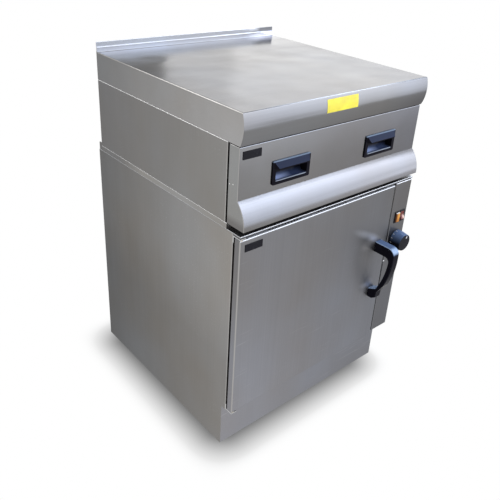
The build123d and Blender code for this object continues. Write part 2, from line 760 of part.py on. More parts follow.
# Mineral wool wrapped round the liner
with BuildPart() as oven_insulation:
    wool_y = (cavity_mouth + SHEET, insulation_back)
    block((-inner, panel_left), wool_y, (pan_top, deck_under - ROOF_AIR))
    block(liner_x, (wool_y[0], cavity_back + SHEET), liner_z, mode=Mode.SUBTRACT)
    through = (cavity_back + SHEET, insulation_back)
    y_rod(fan_x, through, fan_z, shaft_hole, Mode.SUBTRACT)
    for side, sign in SIDES:
        leg_x = fan_x + sign * ELEMENT_LEG_SPREAD / 2
        y_rod(leg_x, through, leg_z, leg_hole, Mode.SUBTRACT)
    wool_wall = (liner_x[1], panel_left)
    x_rod(wool_wall, probe_y, probe_z, capillary_hole, Mode.SUBTRACT)
keep(oven_insulation, "oven_insulation")

# Ladder racks on the cavity's side walls
baffle_front = cavity_back - FAN_SPACE
rack_y = (cavity_mouth + RACK_FRONT_GAP, baffle_front - RACK_BACK_GAP)
rack_z = (cavity_floor + RACK_FOOT_GAP, cavity_roof - RACK_HEAD_GAP)
rung_pitch = (rack_z[1] - rack_z[0]) / RACK_LEVELS
rung_tops = [rack_z[0] + rung_pitch * (level + 0.5) for level in range(RACK_LEVELS)]
rung_near = RACK_STANDOFF + RACK_ROD - RUNG_BITE
upright_ends = (rack_y[0] + RACK_UPRIGHT_INSET, rack_y[1] - RACK_UPRIGHT_INSET)
for side, wall, inward in (("left", cavity_left, 1), ("right", cavity_right, -1)):
    with BuildPart() as shelf_rack:
        upright_x = wall + inward * RACK_STANDOFF
        for upright_y in upright_ends:
            z_rod(upright_x, upright_y, rack_z, RACK_ROD)
            for pin_z in (rack_z[0] + 2 * RACK_ROD, rack_z[1] - 2 * RACK_ROD):
                x_rod((wall, upright_x), upright_y, pin_z, RACK_PIN)
        for rung_top in rung_tops:
            rung_x = sorted((wall + inward * rung_near, wall + inward * (rung_near + RUNG_WIDTH)))
            block(rung_x, rack_y, (rung_top - RUNG_THICKNESS, rung_top))
    keep(shelf_rack, f"shelf_rack_{side}")

# Wire shelves that slide on the racks
shelf_inset = rung_near + RUNG_WIDTH / 2 + RUNG_BITE
shelf_x = (cavity_left + shelf_inset, cavity_right - shelf_inset)
shelf_y = (cavity_mouth + SHELF_FRONT_GAP, baffle_front - SHELF_BACK_GAP)
wire_y = grown(shelf_y, SHELF_FRAME)
for name, level in zip(("lower", "upper"), SHELF_LEVELS):
    frame_z = rung_tops[level] + SHELF_FRAME + SHELF_LIFT
    wire_z = frame_z + SHELF_FRAME
    with BuildPart() as shelf:
        for rail_x in shelf_x:
            y_rod(rail_x, wire_y, frame_z, SHELF_FRAME)
        for rail_y in (shelf_y[0], (shelf_y[0] + shelf_y[1]) / 2, shelf_y[1]):
            x_rod(shelf_x, rail_y, frame_z, SHELF_FRAME)
        wire_pitch = (shelf_x[1] - shelf_x[0]) / (SHELF_WIRES + 1)
        for count in range(SHELF_WIRES):
            wire_x = shelf_x[0] + wire_pitch * (count + 1)
            y_rod(wire_x, wire_y, wire_z, SHELF_WIRE)
    keep(shelf, f"shelf_{name}")

# Baffle plate in front of the fan, pierced in the middle
with BuildPart() as fan_baffle:
    baffle_x = grown(cavity_x, -BAFFLE_MARGIN)
    baffle_z = grown(cavity_z, -BAFFLE_MARGIN)
    block(baffle_x, (baffle_front, cavity_back), baffle_z)
    block(
        baffle_x,
        (baffle_front + SHEET, cavity_back),
        grown(baffle_z, -SHEET),
        mode=Mode.SUBTRACT,
    )
    with BuildSketch(front_plane(baffle_front + SHEET)):
        for ring in range(1, BAFFLE_RINGS + 1):
            with Locations((fan_x, fan_z)):
                with PolarLocations(ring * BAFFLE_RING_PITCH, BAFFLE_RING_HOLES * ring):
                    Circle(BAFFLE_HOLE)
    extrude(amount=SHEET, mode=Mode.SUBTRACT)
keep(fan_baffle, "fan_baffle")

# Fan impeller on its shaft
impeller_back = cavity_back - FAN_BACK_GAP
blade_front = impeller_back - FAN_BLADE_DEPTH
bridge_back = insulation_back + BRIDGE_THICKNESS
motor_front = bridge_back + STANDOFF_LENGTH
motor_back = motor_front + MOTOR_LENGTH
with BuildPart() as fan_impeller:
    y_rod(fan_x, (impeller_back - SHEET, impeller_back), fan_z, FAN_RADIUS)
    y_rod(fan_x, (blade_front, impeller_back + SHAFT_RADIUS), fan_z, FAN_HUB_RADIUS)
    blade_length = FAN_RADIUS - FAN_BLADE_INNER
    with BuildSketch(front_plane(impeller_back - SHEET)):
        with Locations((fan_x, fan_z)):
            with PolarLocations((FAN_RADIUS + FAN_BLADE_INNER) / 2, FAN_BLADES):
                Rectangle(blade_length, SHEET)
    extrude(amount=FAN_BLADE_DEPTH - SHEET)
    y_rod(fan_x, (blade_front, impeller_back + SHAFT_RADIUS), fan_z, SHAFT_RADIUS, Mode.SUBTRACT)
keep(fan_impeller, "fan_impeller")

with BuildPart() as fan_shaft:
    y_rod(fan_x, (blade_front, motor_back + MOTOR_BOSS_LENGTH), fan_z, SHAFT_RADIUS)
keep(fan_shaft, "fan_shaft")

# Ring heating element round the fan, with its legs through the liner
element_y = cavity_back - ELEMENT_BACK_GAP
with BuildPart() as ring_element:
    with BuildSketch(Plane(origin=(fan_x, element_y, fan_z), x_dir=(1, 0, 0), z_dir=(0, 0, 1))):
        with Locations((ELEMENT_RADIUS, 0)):
            Circle(ELEMENT_TUBE)
    revolve(axis=Axis((fan_x, element_y, fan_z), (0, 1, 0)))
    for side, sign in SIDES:
        leg_x = fan_x + sign * ELEMENT_LEG_SPREAD / 2
        y_rod(leg_x, (element_y, bridge_back), leg_z, ELEMENT_LEG)
        collar_y = cavity_back - ELEMENT_COLLAR_THICKNESS
        y_rod(leg_x, (collar_y, cavity_back), leg_z, ELEMENT_COLLAR)
keep(ring_element, "ring_element")

# Bridge across the rear bay that carries the fan motor on four standoffs
standoff_ring = MOTOR_RADIUS - STANDOFF_RADIUS - SHEET
with BuildPart() as motor_bridge:
    block((-inner, panel_left), (insulation_back, bridge_back), about(fan_z, BRIDGE_HEIGHT))
    y_rod(fan_x, (insulation_back, bridge_back), fan_z, shaft_hole, Mode.SUBTRACT)
    with BuildSketch(front_plane(motor_front)):
        with Locations((fan_x, fan_z)):
            with PolarLocations(standoff_ring, 4, start_angle=45):
                Circle(STANDOFF_RADIUS)
    extrude(amount=STANDOFF_LENGTH)
keep(motor_bridge, "motor_bridge")

with BuildPart() as fan_motor:
    y_rod(fan_x, (motor_front, motor_back), fan_z, MOTOR_RADIUS)
    y_rod(fan_x, (motor_back, motor_back + MOTOR_BOSS_LENGTH), fan_z, MOTOR_BOSS_RADIUS)
    fillet(fan_motor.edges().filter_by(GeomType.CIRCLE).group_by(Axis.Y)[1], SHEET)
    bearing = SHAFT_RADIUS + SHAFT_PLAY
    y_rod(fan_x, (motor_front, motor_back + MOTOR_BOSS_LENGTH), fan_z, bearing, Mode.SUBTRACT)
keep(fan_motor, "fan_motor")

# Oven unit's back panel with the motor opening and the cable entry
gland_z = pan_top + GLAND_HEIGHT
cover_x = about(fan_x, COVER_SIZE)
cover_z = about(fan_z, COVER_SIZE)
with BuildPart() as lower_back:
    block((-inner, inner), (back_inside, carcass_back), (FLOOR_GAP, deck_under))
    opening_x = grown(cover_x, -COVER_OVERLAP)
    opening_z = grown(cover_z, -COVER_OVERLAP)
    block(opening_x, (back_inside, carcass_back), opening_z, mode=Mode.SUBTRACT)
    y_rod(bay_middle, (back_inside, carcass_back), gland_z, GLAND_RADIUS + GLAND_FIT, Mode.SUBTRACT)
keep(lower_back, "lower_back")

with BuildPart() as rear_cover:
    block(cover_x, (carcass_back, carcass_back + SHEET), cover_z)
    with BuildSketch(front_plane(carcass_back + SHEET)):
        with Locations((fan_x, fan_z)):
            with GridLocations(0, COVER_SLOT_PITCH, 1, COVER_SLOTS):
                SlotOverall(COVER_SLOT_LENGTH, COVER_SLOT_WIDTH)
    extrude(amount=SHEET, mode=Mode.SUBTRACT)
keep(rear_cover, "rear_cover")

with BuildPart() as rear_screws:
    head_y = carcass_back + SHEET
    with BuildSketch(front_plane(head_y + REAR_SCREW_HEIGHT)):
        with Locations((fan_x, fan_z)):
            with GridLocations(COVER_SIZE - REAR_SCREW_INSET, COVER_SIZE - REAR_SCREW_INSET, 2, 2):
                Circle(REAR_SCREW_RADIUS)
    extrude(amount=REAR_SCREW_HEIGHT)
    fillet(rear_screws.edges().group_by(Axis.Y)[-1], REAR_SCREW_HEIGHT / 2)
keep(rear_screws, "rear_screws")

# Cable gland in the back panel
with BuildPart() as cable_gland:
    flange_back = carcass_back + GLAND_FLANGE_THICKNESS
    inside_end = back_inside - GLAND_INSIDE
    y_rod(bay_middle, (inside_end, carcass_back + GLAND_REACH), gland_z, GLAND_RADIUS)
    with BuildSketch(front_plane(flange_back)):
        with Locations((bay_middle, gland_z)):
            RegularPolygon(GLAND_FLANGE, 6)
    extrude(amount=GLAND_FLANGE_THICKNESS)
    with BuildSketch(front_plane(back_inside)):
        with Locations((bay_middle, gland_z)):
            RegularPolygon(GLAND_FLANGE, 6)
    extrude(amount=GLAND_FLANGE_THICKNESS)
    y_rod(bay_middle, (inside_end, carcass_back + GLAND_REACH), gland_z, GLAND_BORE, Mode.SUBTRACT)
keep(cable_gland, "cable_gland")

# Supply terminal block on the bay floor
with BuildPart() as terminal_block:
    terminal_y = (back_inside - TERMINAL_BACK_GAP - TERMINAL_LENGTH, back_inside - TERMINAL_BACK_GAP)
    terminal_z = (pan_top, pan_top + TERMINAL_HEIGHT)
    block(about(bay_middle, TERMINAL_WIDTH), terminal_y, terminal_z)
    way = TERMINAL_LENGTH / TERMINAL_WAYS
    for count in range(TERMINAL_WAYS):
        way_y = terminal_y[0] + way * (count + 0.5)
        block(
            about(bay_middle, TERMINAL_WIDTH),
            about(way_y, way - TERMINAL_RIB),
            (terminal_z[1] - TERMINAL_NOTCH, terminal_z[1]),
            mode=Mode.SUBTRACT,
        )
keep(terminal_block, "terminal_block")

# Control panel: a shallow pan in line with the door
control_x = bay_middle + CONTROL_SHIFT
lamp_x = control_x - CONTROL_SPACING / 2
switch_x = control_x + CONTROL_SPACING / 2
control_z = DECK_HEIGHT - CONTROL_DROP
knob_z = DECK_HEIGHT - KNOB_DROP
panel_back = door_face + SHEET
catch_y = door_face + DOOR_THICKNESS / 2
cutout_width = CONTROL_WIDTH - 2 * CONTROL_RIM + 2 * CONTROL_FIT
cutout_height = CONTROL_HEIGHT - 2 * CONTROL_RIM + 2 * CONTROL_FIT
with BuildPart() as control_panel:
    panel_x = (panel_left, half)
    panel_y = (door_face, carcass_front)
    panel_z = (panel_bottom, panel_top)
    block(panel_x, panel_y, panel_z)
    fillet(control_panel.edges().group_by(Axis.Y)[0], DOOR_ROUND)
    block(
        (bay_left, inner),
        (panel_back, carcass_front),
        (panel_bottom + SHEET, panel_top - SHEET),
        mode=Mode.SUBTRACT,
    )
    block((panel_left, bay_left), (carcass_front, frame_front), panel_z)
    with BuildSketch(front_plane(panel_back)):
        with Locations((lamp_x, control_z), (switch_x, control_z)):
            Rectangle(cutout_width, cutout_height)
        with Locations((control_x, knob_z)):
            Circle(SPINDLE_RADIUS + SHAFT_HOLE_ROOM)
    extrude(amount=SHEET, mode=Mode.SUBTRACT)
    catch_hole = CATCH_RADIUS + SCREW_HOLE_PLAY
    x_rod((panel_left, bay_left), catch_y, door_middle, catch_hole, Mode.SUBTRACT)
keep(control_panel, "control_panel")

# Indicator lamp: a black housing and the amber lens pressed into it
bezel_front = door_face - CONTROL_BEZEL
body_width = CONTROL_WIDTH - 2 * CONTROL_RIM
body_height = CONTROL_HEIGHT - 2 * CONTROL_RIM
pocket_width = body_width - 2 * CONTROL_WALL
pocket_height = body_height - 2 * CONTROL_WALL
with BuildPart() as lamp_housing:
    with BuildSketch(front_plane(door_face)):
        with Locations((lamp_x, control_z)):
            Rectangle(CONTROL_WIDTH, CONTROL_HEIGHT)
    extrude(amount=CONTROL_BEZEL)
    with BuildSketch(front_plane(door_face)):
        with Locations((lamp_x, control_z)):
            Rectangle(body_width, body_height)
    extrude(amount=-CONTROL_DEPTH)
    with BuildSketch(front_plane(bezel_front)):
        with Locations((lamp_x, control_z)):
            Rectangle(pocket_width, pocket_height)
    extrude(amount=-LENS_DEPTH, mode=Mode.SUBTRACT)
keep(lamp_housing, "lamp_housing")

with BuildPart() as indicator_lamp:
    with BuildSketch(front_plane(bezel_front)) as lens:
        with Locations((lamp_x, control_z)):
            Rectangle(pocket_width - 2 * LENS_FIT, pocket_height - 2 * LENS_FIT)
    extrude(amount=-LENS_DEPTH)
    extrude(lens.sketch, amount=LENS_CROWN, taper=LENS_TAPER)
keep(indicator_lamp, "indicator_lamp")

# Rocker switch: a housing with a pivot pin, and the red rocker that tips on it
pivot_y = door_face + ROCKER_PIVOT_DEPTH
with BuildPart() as switch_housing:
    with BuildSketch(front_plane(door_face)):
        with Locations((switch_x, control_z)):
            Rectangle(CONTROL_WIDTH, CONTROL_HEIGHT)
    extrude(amount=CONTROL_BEZEL)
    with BuildSketch(front_plane(door_face)):
        with Locations((switch_x, control_z)):
            Rectangle(body_width, body_height)
    extrude(amount=-CONTROL_DEPTH)
    with BuildSketch(front_plane(bezel_front)):
        with Locations((switch_x, control_z)):
            Rectangle(pocket_width, pocket_height)
    extrude(amount=-(CONTROL_BEZEL + CONTROL_DEPTH - CONTROL_WALL), mode=Mode.SUBTRACT)
    pin_x = about(switch_x, pocket_width + CONTROL_WALL)
    x_rod(pin_x, pivot_y, control_z, ROCKER_PIN_RADIUS)
keep(switch_housing, "switch_housing")

with BuildPart() as switch_rocker:
    rocker_reach = pocket_width / 2 - ROCKER_PLAY
    with BuildSketch(side_plane((switch_x - rocker_reach, pivot_y, control_z))):
        with BuildLine(Plane.XY * Rot(0, 0, -ROCKER_TILT)):
            Polyline(
                (-ROCKER_VALLEY, 0),
                (-ROCKER_HORN, ROCKER_HALF),
                (0, ROCKER_HALF),
                (ROCKER_TAIL, 0),
                (0, -ROCKER_HALF),
                (-ROCKER_HORN, -ROCKER_HALF),
                close=True,
            )
        make_face()
        Circle(ROCKER_PIN_RADIUS + SPINDLE_PLAY, mode=Mode.SUBTRACT)
    extrude(amount=2 * rocker_reach)
keep(switch_rocker, "switch_rocker")

# Thermostat behind the panel, its spindle and the control knob
knob_back = door_face - KNOB_GAP
thermostat_back = panel_back + THERMOSTAT_DEPTH
with BuildPart() as thermostat:
    block(
        about(control_x, THERMOSTAT_WIDTH),
        (panel_back, thermostat_back),
        about(knob_z, THERMOSTAT_HEIGHT),
    )
    spindle_bore = SPINDLE_RADIUS + SPINDLE_PLAY
    y_rod(control_x, (panel_back, thermostat_back), knob_z, spindle_bore, Mode.SUBTRACT)
keep(thermostat, "thermostat")

with BuildPart() as thermostat_spindle:
    y_rod(control_x, (knob_back - SPINDLE_GRIP, thermostat_back), knob_z, SPINDLE_RADIUS)
keep(thermostat_spindle, "thermostat_spindle")

with BuildPart() as control_knob:
    with BuildSketch(Plane(origin=(control_x, knob_back, knob_z), x_dir=(1, 0, 0), z_dir=(0, 0, 1))):
        with BuildLine():
            Polyline(
                (0, 0),
                (KNOB_RADIUS, 0),
                (KNOB_RADIUS, -KNOB_SKIRT),
                (KNOB_FACE_RADIUS, -KNOB_DEPTH),
                (0, -KNOB_DEPTH),
                close=True,
            )
        make_face()
    revolve(axis=Axis((control_x, knob_back, knob_z), (0, 1, 0)))
    fillet(control_knob.edges().filter_by(GeomType.CIRCLE).group_by(Axis.Y)[0], KNOB_EDGE)
    y_rod(control_x, (knob_back - SPINDLE_GRIP, knob_back), knob_z, SPINDLE_RADIUS, Mode.SUBTRACT)
keep(control_knob, "control_knob")

# Thermostat phial in the cavity and its capillary tube
probe_x = cavity_right - PROBE_WALL_GAP
with BuildPart() as thermostat_probe:
    y_rod(probe_x, (probe_y, probe_y + PROBE_LENGTH), probe_z, PROBE_RADIUS)
    for clip_y in (probe_y + PROBE_CLIP_INSET, probe_y + PROBE_LENGTH - PROBE_CLIP_INSET):
        block((probe_x, cavity_right), about(clip_y, 2 * PROBE_RADIUS), about(probe_z, PROBE_RADIUS))
    with BuildLine():
        capillary = FilletPolyline(
            (probe_x, probe_y, probe_z),
            (control_x, probe_y, probe_z),
            (control_x, probe_y, knob_z),
            (control_x, thermostat_back, knob_z),
            radius=CAPILLARY_BEND,
        )
    with BuildSketch(Plane(origin=capillary @ 0, z_dir=capillary % 0)):
        Circle(CAPILLARY_RADIUS)
    sweep()
keep(thermostat_probe, "thermostat_probe")

# Door outer skin: a folded pan with vent slots along its top
hinge_x = door_left + HINGE_INSET
hinge_y = door_face + HINGE_DEPTH
door_x = (door_left, door_right)
door_z = (door_bottom, door_top)
handle_x = door_right - HANDLE_INSET
handle_half = HANDLE_LENGTH / 2
handle_top = door_middle + handle_half
handle_bottom = door_middle - handle_half
screw_levels = (handle_top - HANDLE_ARM / 2, handle_bottom + HANDLE_FOOT / 2)
screw_tip = door_face - HANDLE_SCREW_DEPTH
skin_back = door_face + SHEET
with BuildPart() as door_outer:
    block(door_x, (door_face, door_back), door_z)
    fillet(door_outer.edges().group_by(Axis.Y)[0], DOOR_ROUND)
    block(
        grown(door_x, -SHEET),
        (door_face + SHEET, door_back),
        grown(door_z, -SHEET),
        mode=Mode.SUBTRACT,
    )
    vent_x = (door_left + door_right) / 2 + VENT_SHIFT
    with BuildSketch(Plane.XY.offset(door_top - SHEET)):
        with Locations((vent_x, (door_face + door_back) / 2)):
            with GridLocations(VENT_GROUP_SPACING, 0, VENT_GROUPS, 1):
                with GridLocations(VENT_PITCH, 0, VENT_SLOTS, 1):
                    Rectangle(VENT_WIDTH, VENT_LENGTH)
    extrude(amount=SHEET, mode=Mode.SUBTRACT)
    pin_hole = HINGE_COLLAR_RADIUS + SCREW_HOLE_PLAY
    z_rod(hinge_x, hinge_y, (door_bottom, door_bottom + SHEET), pin_hole, Mode.SUBTRACT)
    z_rod(hinge_x, hinge_y, (door_top - SHEET, door_top), pin_hole, Mode.SUBTRACT)
    x_rod((door_right - SHEET, door_right), catch_y, door_middle, catch_hole, Mode.SUBTRACT)
    for screw_z in screw_levels:
        screw_hole = HANDLE_SCREW_RADIUS + SCREW_HOLE_PLAY
        y_rod(handle_x, (door_face, skin_back), screw_z, screw_hole, Mode.SUBTRACT)
keep(door_outer, "door_outer")

# Door inner skin with the raised plug that fills the oven mouth's surround
plug_grow = SEAL_INSET + SEAL_WIDTH + PLUG_MARGIN
plug_x = grown(cavity_x, plug_grow)
plug_z = grown(cavity_z, plug_grow)
plug_back = frame_front - SEAL_THICKNESS
with BuildPart() as door_inner:
    block(grown(door_x, -SHEET), (door_back - SHEET, door_back), grown(door_z, -SHEET))
    block(plug_x, (door_back - SHEET, plug_back), plug_z)
    fillet(door_inner.edges().group_by(Axis.Y)[-1], BEND)
    block(
        grown(plug_x, -SHEET),
        (door_back - SHEET, plug_back - SHEET),
        grown(plug_z, -SHEET),
        mode=Mode.SUBTRACT,
    )
keep(door_inner, "door_inner")

with BuildPart() as door_insulation:
    wool_y = (skin_back, plug_back - SHEET)
    block(grown(plug_x, -SHEET), wool_y, grown(plug_z, -SHEET))
    for screw_z in screw_levels:
        y_rod(handle_x, (skin_back, skin_back + SCREW_HEAD_HEIGHT), screw_z, SCREW_HEAD_RADIUS, Mode.SUBTRACT)
keep(door_insulation, "door_insulation")

with BuildPart() as door_seal:
    seal_y = (plug_back, frame_front)
    block(grown(cavity_x, SEAL_INSET + SEAL_WIDTH), seal_y, grown(cavity_z, SEAL_INSET + SEAL_WIDTH))
    block(grown(cavity_x, SEAL_INSET), seal_y, grown(cavity_z, SEAL_INSET), mode=Mode.SUBTRACT)
keep(door_seal, "door_seal")

# Door handle: a square top arm, a grip that leans back and a hooked foot
grip_top = handle_half - HANDLE_ARM
grip_end = handle_half - GRIP_DROP
grip_back = HANDLE_REACH - GRIP_THICKNESS
with BuildPart() as door_handle:
    handle_plane = Plane(origin=(handle_x, door_face, door_middle), x_dir=(0, -1, 0), z_dir=(-1, 0, 0))
    with BuildSketch(handle_plane) as outline:
        with BuildLine():
            Polyline((0, handle_half), (HANDLE_REACH, handle_half), (HANDLE_REACH, grip_top))
            TangentArc((HANDLE_REACH, grip_top), (HANDLE_REACH - GRIP_LEAN, grip_end), tangent=(0, -1))
            Polyline(
                (HANDLE_REACH - GRIP_LEAN, grip_end),
                (HOOK_REACH, HOOK_RISE - handle_half),
                (HANDLE_HEEL_REACH, HANDLE_HEEL_RISE - handle_half),
                (HANDLE_TOE, -handle_half),
                (0, -handle_half),
                (0, HANDLE_FOOT - handle_half),
                (CROOK_REACH, CROOK_RISE - handle_half),
                (grip_back - GRIP_LEAN, grip_end),
            )
            TangentArc((grip_back, grip_top), (grip_back - GRIP_LEAN, grip_end), tangent=(0, -1))
            Polyline((grip_back, grip_top), (0, grip_top), (0, handle_half))
        make_face()
        fillet(outline.vertices().sort_by_distance((grip_back, grip_top))[0], HANDLE_THROAT)
        fillet(outline.vertices().sort_by_distance((CROOK_REACH, CROOK_RISE - handle_half))[0], CROOK_ROUND)
    extrude(amount=HANDLE_WIDTH / 2, both=True)
    top_corner = door_handle.edges().filter_by(Axis.X).group_by(Axis.Z)[-1].sort_by(Axis.Y)[0]
    fillet(top_corner, HANDLE_CORNER)
    cheek_edges = door_handle.faces().filter_by(Axis.X).edges().filter_by(Axis.Z, reverse=True)
    fillet(cheek_edges, HANDLE_EDGE)
    for screw_z in screw_levels:
        y_rod(handle_x, (screw_tip, door_face), screw_z, HANDLE_SCREW_RADIUS, Mode.SUBTRACT)
keep(door_handle, "door_handle")

with BuildPart() as handle_screws:
    for screw_z in screw_levels:
        y_rod(handle_x, (screw_tip, skin_back), screw_z, HANDLE_SCREW_RADIUS)
        y_rod(handle_x, (skin_back, skin_back + SCREW_HEAD_HEIGHT), screw_z, SCREW_HEAD_RADIUS)
keep(handle_screws, "handle_screws")

# Door hinges: plates on the left side panel's front return, with pins that enter bushes in the door
hinge_plate_x = (door_left + SHEET / 2, door_left + HINGE_WIDTH)
hinge_reach_y = (hinge_y - HINGE_COLLAR_RADIUS, carcass_front)
for name, door_edge, away in (("lower", door_bottom, -1), ("upper", door_top, 1)):
    plate_near = door_edge + away * HINGE_COLLAR_HEIGHT
    plate_far = plate_near + away * HINGE_PLATE
    pin_end = door_edge - away * HINGE_PIN_REACH
    with BuildPart() as hinge:
        block(hinge_plate_x, hinge_reach_y, sorted((plate_near, plate_far)))
        block(hinge_plate_x, (carcass_front - HINGE_PLATE, carcass_front), sorted((plate_far, pin_end)))
        z_rod(hinge_x, hinge_y, (plate_near, door_edge), HINGE_COLLAR_RADIUS)
        z_rod(hinge_x, hinge_y, (plate_near, pin_end), HINGE_PIN_RADIUS)
    keep(hinge, f"hinge_{name}")

with BuildPart() as hinge_bushes:
    bush_x = (door_left + SHEET, door_left + SHEET + BUSH_WIDTH)
    bush_y = (door_face + SHEET, door_back - SHEET)
    for edge, inward in ((door_bottom, 1), (door_top, -1)):
        start = edge + inward * SHEET
        end = start + inward * BUSH_LENGTH
        block(bush_x, bush_y, sorted((start, end)))
        z_rod(hinge_x, hinge_y, (edge, start), HINGE_COLLAR_RADIUS)
        bore = HINGE_PIN_RADIUS + HINGE_PLAY
        z_rod(hinge_x, hinge_y, (edge, end), bore, Mode.SUBTRACT)
keep(hinge_bushes, "hinge_bushes")

# Spring catch in the control panel's edge that holds the door shut
plunger_end = bay_left + CATCH_BARREL_LENGTH - SHEET - CATCH_SPRING_SPACE
plunger_nose = door_right + CATCH_NOSE_GAP
with BuildPart() as catch_barrel:
    barrel_end = bay_left + CATCH_BARREL_LENGTH
    x_rod((bay_left, barrel_end), catch_y, door_middle, CATCH_BARREL_RADIUS)
    bore_end = barrel_end - SHEET
    barrel_bore = CATCH_RADIUS + CATCH_PLAY
    x_rod((bay_left, bore_end), catch_y, door_middle, barrel_bore, Mode.SUBTRACT)
keep(catch_barrel, "catch_barrel")

with BuildPart() as catch_plunger:
    x_rod((plunger_nose, plunger_end), catch_y, door_middle, CATCH_RADIUS)
    nose_edge = catch_plunger.edges().filter_by(GeomType.CIRCLE).sort_by(Axis.X)[0]
    fillet(nose_edge, CATCH_NOSE_ROUND)
keep(catch_plunger, "catch_plunger")

# Levelling feet on plates inside the plinth
foot_x = inner - FOOT_PLATE_SIZE / 2
foot_front = frame_back + FOOT_PLATE_SIZE / 2
foot_rear = back_inside - FOOT_PLATE_SIZE / 2
foot_places = [(sign * foot_x, y) for side, sign in SIDES for y in (foot_front, foot_rear)]
plate_z = (FOOT_PLATE_HEIGHT, FOOT_PLATE_HEIGHT + FOOT_PLATE)
with BuildPart() as foot_brackets:
    for x, y in foot_places:
        block(about(x, FOOT_PLATE_SIZE), about(y, FOOT_PLATE_SIZE), plate_z)
        z_rod(x, y, plate_z, FOOT_STUD + FOOT_PLAY, Mode.SUBTRACT)
keep(foot_brackets, "foot_brackets")

with BuildPart() as levelling_feet:
    for x, y in foot_places:
        z_rod(x, y, (0, FOOT_HEIGHT), FOOT_RADIUS)
        z_rod(x, y, (FOOT_HEIGHT, plate_z[1] + FOOT_STUD_TOP), FOOT_STUD)
        with BuildSketch(Plane.XY.offset(plate_z[0] - FOOT_NUT_HEIGHT)):
            with Locations((x, y)):
                RegularPolygon(FOOT_NUT, 6)
        extrude(amount=FOOT_NUT_HEIGHT)
    fillet(levelling_feet.edges().group_by(Axis.Z)[0], FOOT_EDGE)
keep(levelling_feet, "levelling_feet")
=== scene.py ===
"""Finishes, small trim and a plain studio for a catering convection oven with a drawer worktop unit."""

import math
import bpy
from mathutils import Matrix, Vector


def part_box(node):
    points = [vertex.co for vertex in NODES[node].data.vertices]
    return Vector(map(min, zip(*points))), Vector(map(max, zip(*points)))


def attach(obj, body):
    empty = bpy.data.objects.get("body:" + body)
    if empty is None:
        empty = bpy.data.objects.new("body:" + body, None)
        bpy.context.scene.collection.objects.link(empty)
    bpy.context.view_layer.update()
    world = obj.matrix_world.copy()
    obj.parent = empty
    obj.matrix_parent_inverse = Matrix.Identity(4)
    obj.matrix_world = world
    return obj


bl_info = {
    "name": "Convection oven dressing",
    "version": (1, 0, 0),
    "blender": (4, 5, 0),
    "location": "View3D > Sidebar > Oven",
    "description": "Finishes the oven's metal and mouldings, adds its small trim and sets up a studio",
    "category": "Object",
}

import bmesh
import bpy
from mathutils import Matrix, Vector
from mathutils.bvhtree import BVHTree

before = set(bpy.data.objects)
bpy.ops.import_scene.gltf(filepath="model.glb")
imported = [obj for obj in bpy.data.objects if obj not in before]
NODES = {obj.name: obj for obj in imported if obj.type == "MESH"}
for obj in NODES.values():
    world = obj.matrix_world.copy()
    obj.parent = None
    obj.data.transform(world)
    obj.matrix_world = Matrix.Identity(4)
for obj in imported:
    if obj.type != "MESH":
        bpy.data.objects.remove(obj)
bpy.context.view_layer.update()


def colour_property(name, what, default):
    """The setting for the colour of something."""
    return bpy.props.FloatVectorProperty(
        name=name, description=f"Colour of {what}", subtype="COLOR", min=0.0, max=1.0, default=default
    )


def length_property(name, description, default):
    """A length setting in metres."""
    return bpy.props.FloatProperty(name=name, description=description, unit="LENGTH", default=default)


def factor_property(name, description, default):
    """A setting between nought and one."""
    return bpy.props.FloatProperty(
        name=name, description=description, subtype="FACTOR", min=0.0, max=1.0, default=default
    )


def angle_property(name, description, degrees):
    """An angle setting, given in degrees."""
    return bpy.props.FloatProperty(
        name=name, description=description, subtype="ANGLE", default=math.radians(degrees)
    )


